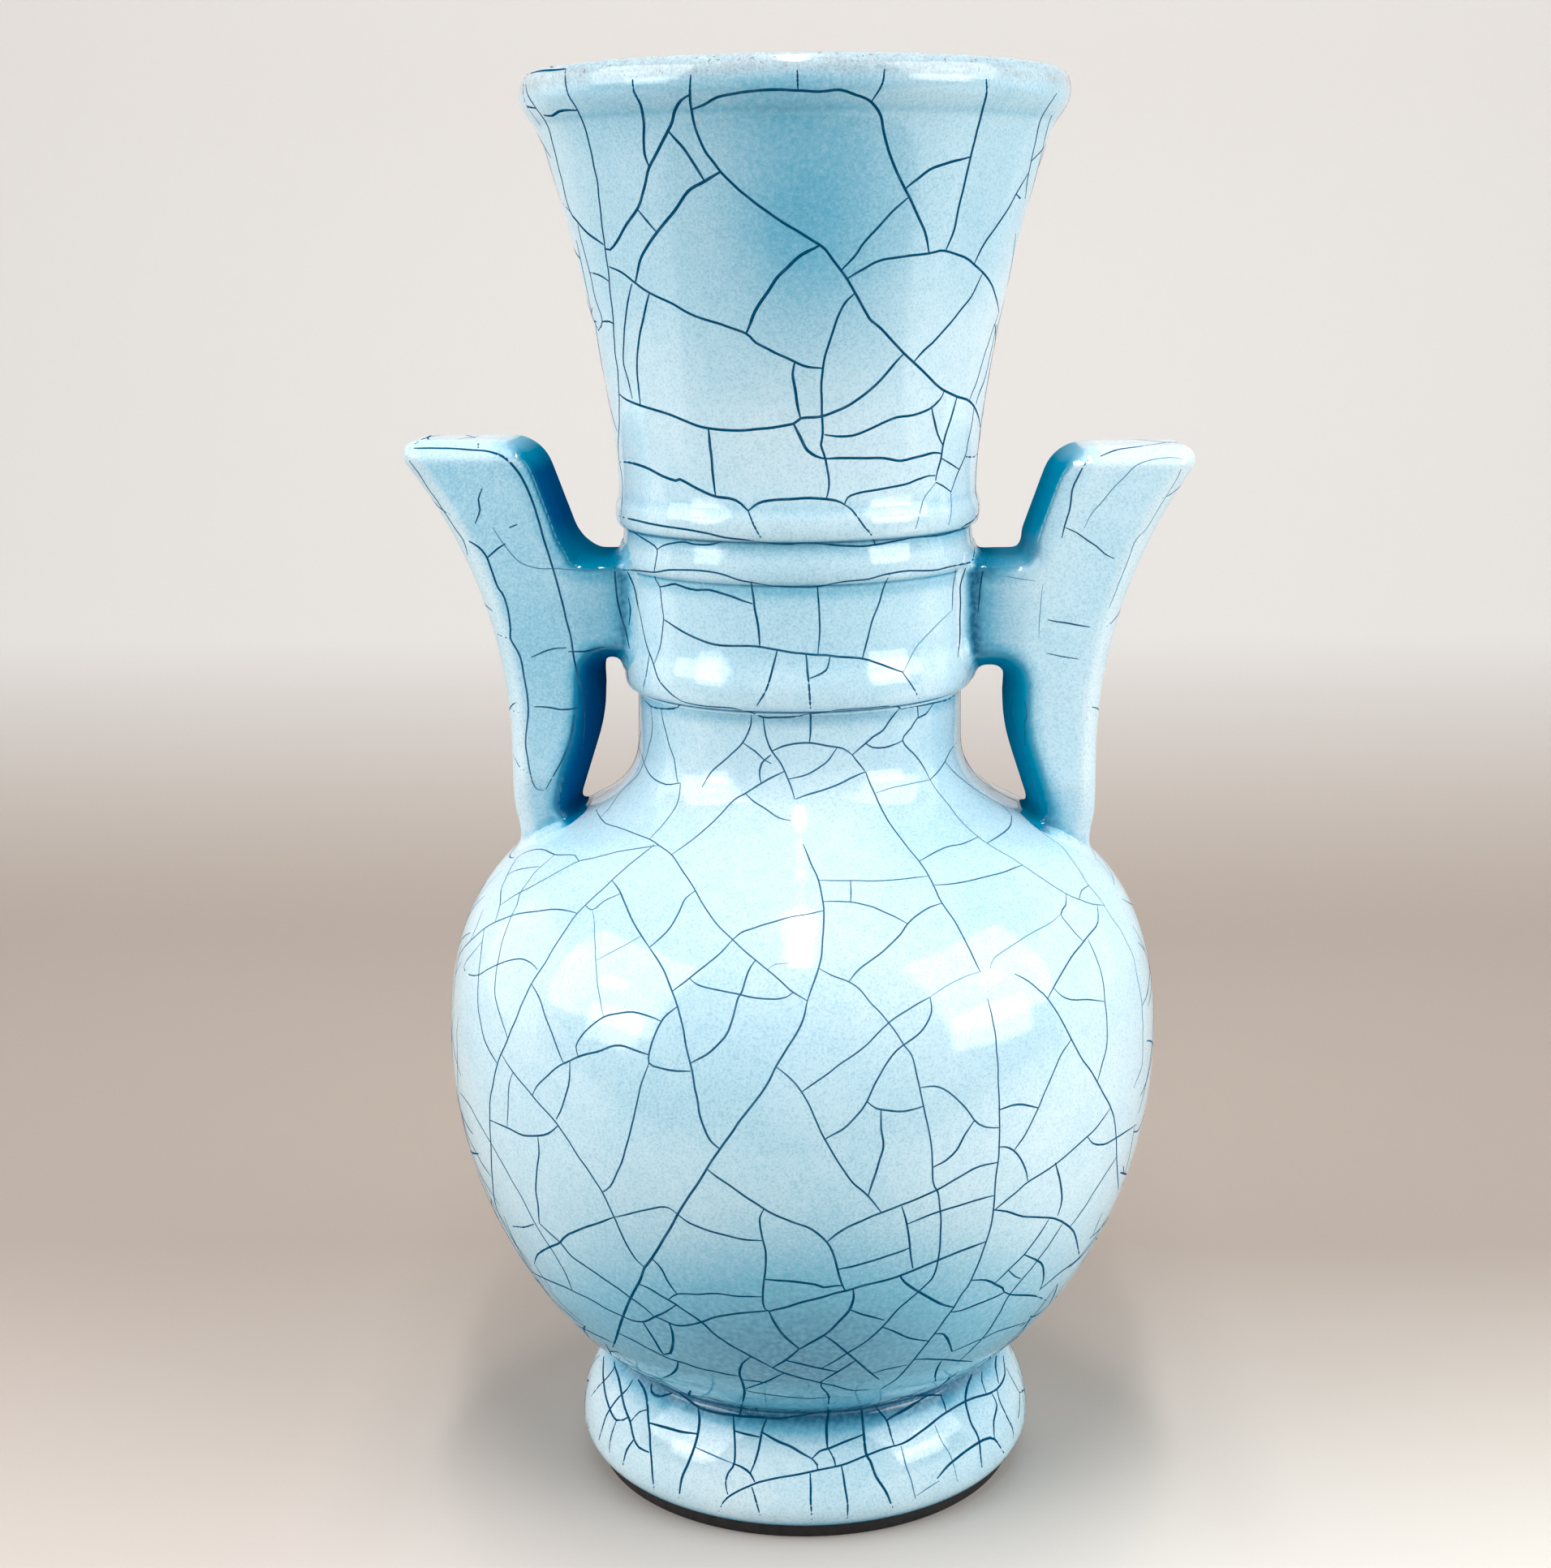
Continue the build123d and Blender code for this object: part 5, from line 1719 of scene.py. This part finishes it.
far_paths = []
for low, high, sizes in BANDS:
    sheet = [Vector((angle, low)) for angle in round_turn(EDGE_POINTS)]
    sheet += [Vector((angle, high)) for angle in reversed(round_turn(EDGE_POINTS))]
    grow_cracks(sheet, sizes, far_paths)
for section in LEDGES:
    height = along_of(section)
    ring = []
    for angle in round_turn(LEDGE_STEPS):
        place = Vector((LEDGE_WAVES * math.cos(angle), LEDGE_WAVES * math.sin(angle), height))
        ring.append(Vector((angle, height + LEDGE_SWAY * noise.noise(place))))
    far_paths.append(ring)
print("far cracks:", len(far_paths))

# %% [markdown]
# ### Laying the far cracks
# The grown cracks are laid on the wall, and kept only where the photograph doesn't see. The backs of the
# handles take the cracks of their fronts, mirrored through the pot's middle plane, and their outer faces get
# a few cracks of their own, given by depth and height in millimetres.

# %% Lay the far cracks on the pot
SEEN_SLANT = 0.20
LAY_REACH = 3 * MM


def laid(path):
    """Runs of places and normals on the wall under one grown crack, off the side that is seen."""
    runs = [[]]
    for point in path:
        place = wall_point(point.y)
        spot = Vector((place.x * math.cos(point.x), place.x * math.sin(point.x), place.y)) * MM
        spot, normal = wall.find_nearest(spot, LAY_REACH)[:2]
        inside = point.y > LIP_ALONG
        seen = spot is not None and (EYE - spot).normalized().dot(normal) > SEEN_SLANT
        if spot is None or (seen and not inside):
            runs.append([])
        else:
            runs[-1].append((spot, normal))
    return [run for run in runs if len(run) >= SHORTEST_RUN]


def mirrored(runs, piece):
    """The runs of a handle's front, laid on its back."""
    tree = surface_tree([piece])
    back = []
    for run in runs:
        spots = []
        for front, _ in run:
            spot, normal = tree.find_nearest(Vector((front.x, -front.y, front.z)), LAY_REACH)[:2]
            if spot is not None:
                spots.append((spot, normal))
        if len(spots) >= SHORTEST_RUN:
            back.append(spots)
    return back


OUTER_FACE_CRACKS = [
    [(-10.5, 179), (-6, 181), (0, 178.5), (5, 180), (10.5, 177)],
    [(-1, 178.6), (-3, 172), (-1.5, 166), (-2.5, 159.5)],
    [(-10.5, 157), (-5, 160), (1, 158.5), (6, 161), (10.5, 160)],
    [(4, 160.3), (5, 154), (3, 147), (4, 141)],
    [(-10.5, 143), (-4, 141), (4, 141), (10.5, 144)],
    [(-4, 141), (-5, 135), (-3, 129), (-4, 123)],
]
SIDE_START = 120.0
STEPS_PER_MM = 8.0


def side_cast(crack, side):
    """A run on the outer face of a handle, cast from its side through places of depth and height."""
    tree = surface_tree([handles[side]])
    sign = side_sign(side)
    run = []
    for point in smooth_path([Vector((depth, height, 0.0)) * STEPS_PER_MM for depth, height in crack]):
        point = (point + noise.noise_vector(point * TREMBLE_SCALE) * TREMBLE_PIXELS) / STEPS_PER_MM
        start = Vector((sign * SIDE_START, sign * point.x, point.y)) * MM
        spot, normal = tree.ray_cast(start, Vector((-sign, 0.0, 0.0)))[:2]
        if spot is not None:
            run.append((spot, normal))
    return run


far_runs = [run for path in far_paths for run in laid(path)]
back_runs = {}
for side, piece in handles.items():
    back_runs[side] = mirrored(cast_runs[side + "_handle"], piece)
    back_runs[side] += [side_cast(crack, side) for crack in OUTER_FACE_CRACKS]
print("far runs:", len(far_runs), "handle backs:", {side: len(runs) for side, runs in back_runs.items()})

# %% [markdown]
# ### Threads of stain
# Each run becomes a thin lens-shaped thread that lies in the glaze and stands a few hundredths of a
# millimetre proud. A second tree sweeps the lens along all the runs of a piece at once, turned to the surface
# by the stored normal and scaled by the stored width. The stain is broad on the trumpet and the foot, and
# fine on the shoulder, where the glaze is thickest.

# %% The thread as a tree of nodes
LENS_RISE = 0.07


def thread_tree():
    """The tree that sweeps a lens along every run of a mesh."""
    thread = Nodes("crack_thread", {"Rise": "NodeSocketFloat", "Material": "NodeSocketMaterial"})
    path = thread.add("GeometryNodeMeshToCurve", {"Mesh": thread.given("Geometry")}).outputs["Curve"]
    facing = thread.named("facing", "FLOAT_VECTOR")
    turned_path = thread.add("GeometryNodeSetCurveNormal", {"Curve": path, "Normal": facing}, mode="FREE")
    sink = thread.math("MULTIPLY", thread.given("Rise"), -1.0)
    crown = thread.add("ShaderNodeCombineXYZ", {"X": thread.given("Rise")}).outputs["Vector"]
    keel = thread.add("ShaderNodeCombineXYZ", {"X": sink}).outputs["Vector"]
    corners = {"Point 1": crown, "Point 2": (0.0, 0.5, 0.0), "Point 3": keel, "Point 4": (0.0, -0.5, 0.0)}
    lens = thread.add("GeometryNodeCurvePrimitiveQuadrilateral", corners, mode="POINTS")
    strip = thread.add("GeometryNodeCurveToMesh", {
        "Curve": turned_path.outputs["Curve"], "Profile Curve": lens.outputs["Curve"],
        "Scale": thread.named("width"), "Fill Caps": True})
    thread.close(strip.outputs["Mesh"])
    return thread


THREAD = thread_tree()
print("thread:", len(THREAD.tree.nodes), "nodes")

# %% [markdown]
# ### Sweeping the threads
# Each piece of crackle is one mesh. The width and the tone of a crack follow its height on the pot, its width
# also varies a little by chance, and its ends taper. Cracks that are only just seen, most of them under
# highlights on the glaze, are finer and painted paler: a painted highlight.

# %% Sweep the threads
CRACK_WIDTHS = [(0, 0.38), (25, 0.48), (60, 0.40), (90, 0.31), (110, 0.25), (128, 0.25), (145, 0.32),
                (175, 0.36), (190, 0.45), (250, 0.45)]
CRACK_FAINTNESS = [(0, 0.0), (50, 0.0), (85, 0.14), (110, 0.32), (128, 0.3), (145, 0.15), (190, 0.0),
                   (250, 0.0)]
FAINT_WIDTH = 0.6
# Painted highlight: the faint cracks, which lie under highlights on the glaze, are painted paler.
FAINT_TONE = 0.6
HANDLE_WIDTHS = {"left": 0.95, "right": 0.75}
OWN_WIDTHS = (0.82, 1.18)
PIECE_TOPS = {"foot": 21.8, "belly": 145.0, "neck": 174.0, "trumpet": math.inf}
END_POINTS = 4
END_WIDTH = 0.45
PROUD = 0.01 * MM
width_random = random.Random(5)


def threads(name, plain_runs, faint_runs=(), share=1.0):
    """One piece of crackle: all its runs swept as threads."""
    chains = []
    facing = []
    widths = []
    tones = []
    marked = [(run, False) for run in plain_runs] + [(run, True) for run in faint_runs]
    for run, is_faint in marked:
        chains.append([spot + normal * PROUD for spot, normal in run])
        own = share * width_random.uniform(*OWN_WIDTHS) * (FAINT_WIDTH if is_faint else 1.0)
        for i, (spot, normal) in enumerate(run):
            height = spot.z / MM
            end = min(1.0, (min(i, len(run) - 1 - i) + 1) / END_POINTS)
            taper = END_WIDTH + (1 - END_WIDTH) * end
            facing.append(normal)
            widths.append(between(CRACK_WIDTHS, height) * own * taper * MM)
            tones.append(between(CRACK_FAINTNESS, height) + (FAINT_TONE if is_faint else 0.0))
    attributes = {"facing": ("FLOAT_VECTOR", facing), "width": ("FLOAT", widths), "faint": ("FLOAT", tones)}
    mesh = chain_mesh(name + "_paths", chains, attributes)
    piece = grown(name, mesh, THREAD, {"Rise": LENS_RISE, "Material": STAIN})
    open_edges = faced_outward(piece)
    dress(piece, "glaze")
    print(name, len(chains), "threads,", len(piece.data.polygons), "faces,", open_edges, "open edges")


def split_by_height(runs):
    """Runs sorted to the piece of crackle that they belong to, by the height of their middle."""
    sorted_runs = {name: [] for name in PIECE_TOPS}
    for run in runs:
        height = run[len(run) // 2][0].z / MM
        name = next(name for name, top in PIECE_TOPS.items() if height < top)
        sorted_runs[name].append(run)
    return sorted_runs


far = split_by_height(far_runs)
faint = split_by_height(cast_runs["faint"])
cast_runs["belly"] = cast_runs["shoulder"] + cast_runs["belly"]
for name in PIECE_TOPS:
    threads("crackle_" + name, cast_runs[name] + far[name], faint[name])
for side in handles:
    name = side + "_handle"
    plain_runs = cast_runs[name] + back_runs[side]
    threads("crackle_" + name, plain_runs, cast_runs[side + "_faint"], HANDLE_WIDTHS[side])

# %% [markdown]
# ## Stage and light
# The pot stands on a warm grey sheet that curves up behind it. The sheet is a strip of faces along one bent
# path, and it is painted paler near the camera, more so on the right, and where it rises, with a darker band
# behind the pot: painted light, for how the light falls over the sheet.

# %% Stage
STAGE_WIDTH = 4.0
STAGE_FRONT = -0.24
STAGE_BACK = 0.34
STAGE_BEND = 0.30
STAGE_TOP = 1.8
BEND_STEPS = 24
NEAR_FROM = 0.09
NEAR_TO = -0.05
LEFT_END = -0.10
RIGHT_END = 0.13
PALE_RISE = 0.07
SHEET_ROUGH = 0.6
# Painted light on the sheet: a darker band behind the pot, paler near the camera and on the right, and paler
# up the rise.
SHEET_DARK = srgb(172, 159, 149)
SHEET_PALE = srgb(216, 213, 210)
SHEET_NEAR_LEFT = srgb(202, 191, 184)
SHEET_NEAR_RIGHT = srgb(220, 215, 208)


def stage_sheet():
    """The sheet that the pot stands on, with its finish."""
    path = [(STAGE_FRONT, 0.0)]
    for i in range(BEND_STEPS + 1):
        angle = math.pi / 2 * i / BEND_STEPS
        path.append((STAGE_BACK + STAGE_BEND * math.sin(angle), STAGE_BEND * (1 - math.cos(angle))))
    path.append((STAGE_BACK + STAGE_BEND, STAGE_TOP))
    points = [(x, y, z) for y, z in path for x in (-STAGE_WIDTH / 2, STAGE_WIDTH / 2)]
    faces = [(2 * i, 2 * i + 1, 2 * i + 3, 2 * i + 2) for i in range(len(path) - 1)]
    mesh = bpy.data.meshes.new("stage_sheet")
    mesh.from_pydata(points, [], faces)
    for face in mesh.polygons:
        face.use_smooth = True
    finish = Finish("stage_sheet")
    part = finish.add("ShaderNodeSeparateXYZ", {"Vector": finish.place}).outputs
    across = finish.ramp(part["X"], LEFT_END, RIGHT_END)
    near_colour = finish.mix(across, SHEET_NEAR_LEFT, SHEET_NEAR_RIGHT)
    colour = finish.mix(finish.ramp(part["Y"], NEAR_FROM, NEAR_TO), SHEET_DARK, near_colour)
    colour = finish.mix(finish.ramp(part["Z"], 0.0, PALE_RISE), colour, SHEET_PALE)
    finish.feed(colour, finish.shader["Base Color"])
    finish.feed(SHEET_ROUGH, finish.shader["Roughness"])
    mesh.materials.append(finish.material)
    sheet = placed("stage_sheet", mesh)
    sheet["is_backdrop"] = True
    return sheet


print("stage:", len(stage_sheet().data.polygons), "faces")

# %% [markdown]
# ### Lights
# Two large soft boxes stand to the left and right of the camera, each with a small bright core. Two lamps
# stand further round to the sides and light the flanks, two low cards brighten the foot, and one long strip
# hangs overhead, which gives the shadow on the floor. A white tent, strongest on the camera's side, fills in
# the rest. Each lamp is given by azimuth and elevation in degrees, distance, width and height in metres, and
# power.

# %% Lights
POT_MIDDLE = Vector((0.0, 0.0, 0.125))
TENT_FRONT = -0.9
TENT_BACK = 0.2
LAMPS = {
    "left_soft_box": (-65, 26, 0.8, 0.62, 0.58, 3.9),
    "right_soft_box": (68, 27, 0.8, 0.62, 0.58, 3.6),
    "left_core": (-65, 24, 0.78, 0.14, 0.08, 0.1),
    "right_core": (68, 25, 0.78, 0.14, 0.08, 0.1),
    "left_side_lamp": (-112, 10, 1.1, 1.0, 0.8, 2.5),
    "right_side_lamp": (112, 10, 1.1, 1.0, 0.8, 2.4),
    "left_low_card": (-58, 7, 0.8, 0.26, 0.2, 0.6),
    "right_low_card": (62, 7, 0.8, 0.4, 0.2, 1.1),
    "top_strip": (1, 77, 0.85, 0.06, 0.8, 5.7),
}


def soft_box(name, azimuth, elevation, distance, width, height, power):
    """A rectangular lamp that looks at the pot; azimuth is measured from the camera's side."""
    level = distance * math.cos(math.radians(elevation))
    away = Vector((
        level * math.sin(math.radians(azimuth)),
        -level * math.cos(math.radians(azimuth)),
        distance * math.sin(math.radians(elevation))))
    data = bpy.data.lights.new(name, "AREA")
    data.shape = "RECTANGLE"
    data.size = width
    data.size_y = height
    data.energy = power
    lamp = placed(name, data)
    lamp.location = POT_MIDDLE + away
    lamp.rotation_euler = (-away).to_track_quat("-Z", "Y").to_euler()


def white_tent(top, back, front):
    """A white surround: one strength overhead, one behind and beside the pot, one on the camera's side."""
    world = bpy.data.worlds.new("white_tent")
    world.use_nodes = True
    tent = NodeTree(world.node_tree)
    way = tent.add("ShaderNodeTexCoord").outputs["Generated"]
    part = tent.add("ShaderNodeSeparateXYZ", {"Vector": way}).outputs
    level = tent.ramp(part["Y"], TENT_FRONT, TENT_BACK, front, back)
    low_part = tent.math("MULTIPLY", level, tent.ramp(part["Z"], 0.0, 1.0, 1.0, 0.0))
    total = tent.math("ADD", low_part, tent.ramp(part["Z"], 0.0, 1.0, 0.0, top))
    background = tent.tree.nodes["Background"].inputs
    tent.feed((1.0, 1.0, 1.0, 1.0), background["Color"])
    tent.feed(total, background["Strength"])
    bpy.context.scene.world = world


for name, settings in LAMPS.items():
    soft_box(name, *settings)
white_tent(top=0.1, back=0.12, front=0.3)
bpy.context.scene.view_settings.view_transform = "Standard"
print("lamps:", len(LAMPS))

# %% [markdown]
# ## The box of the dressed vase
# The box of the dressed vase is measured over the shown pieces, without the stage, and printed in
# millimetres.

# %% Print the box of the dressed vase
low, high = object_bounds()
print("visual box in mm:", [round(v / MM, 1) for v in high - low])
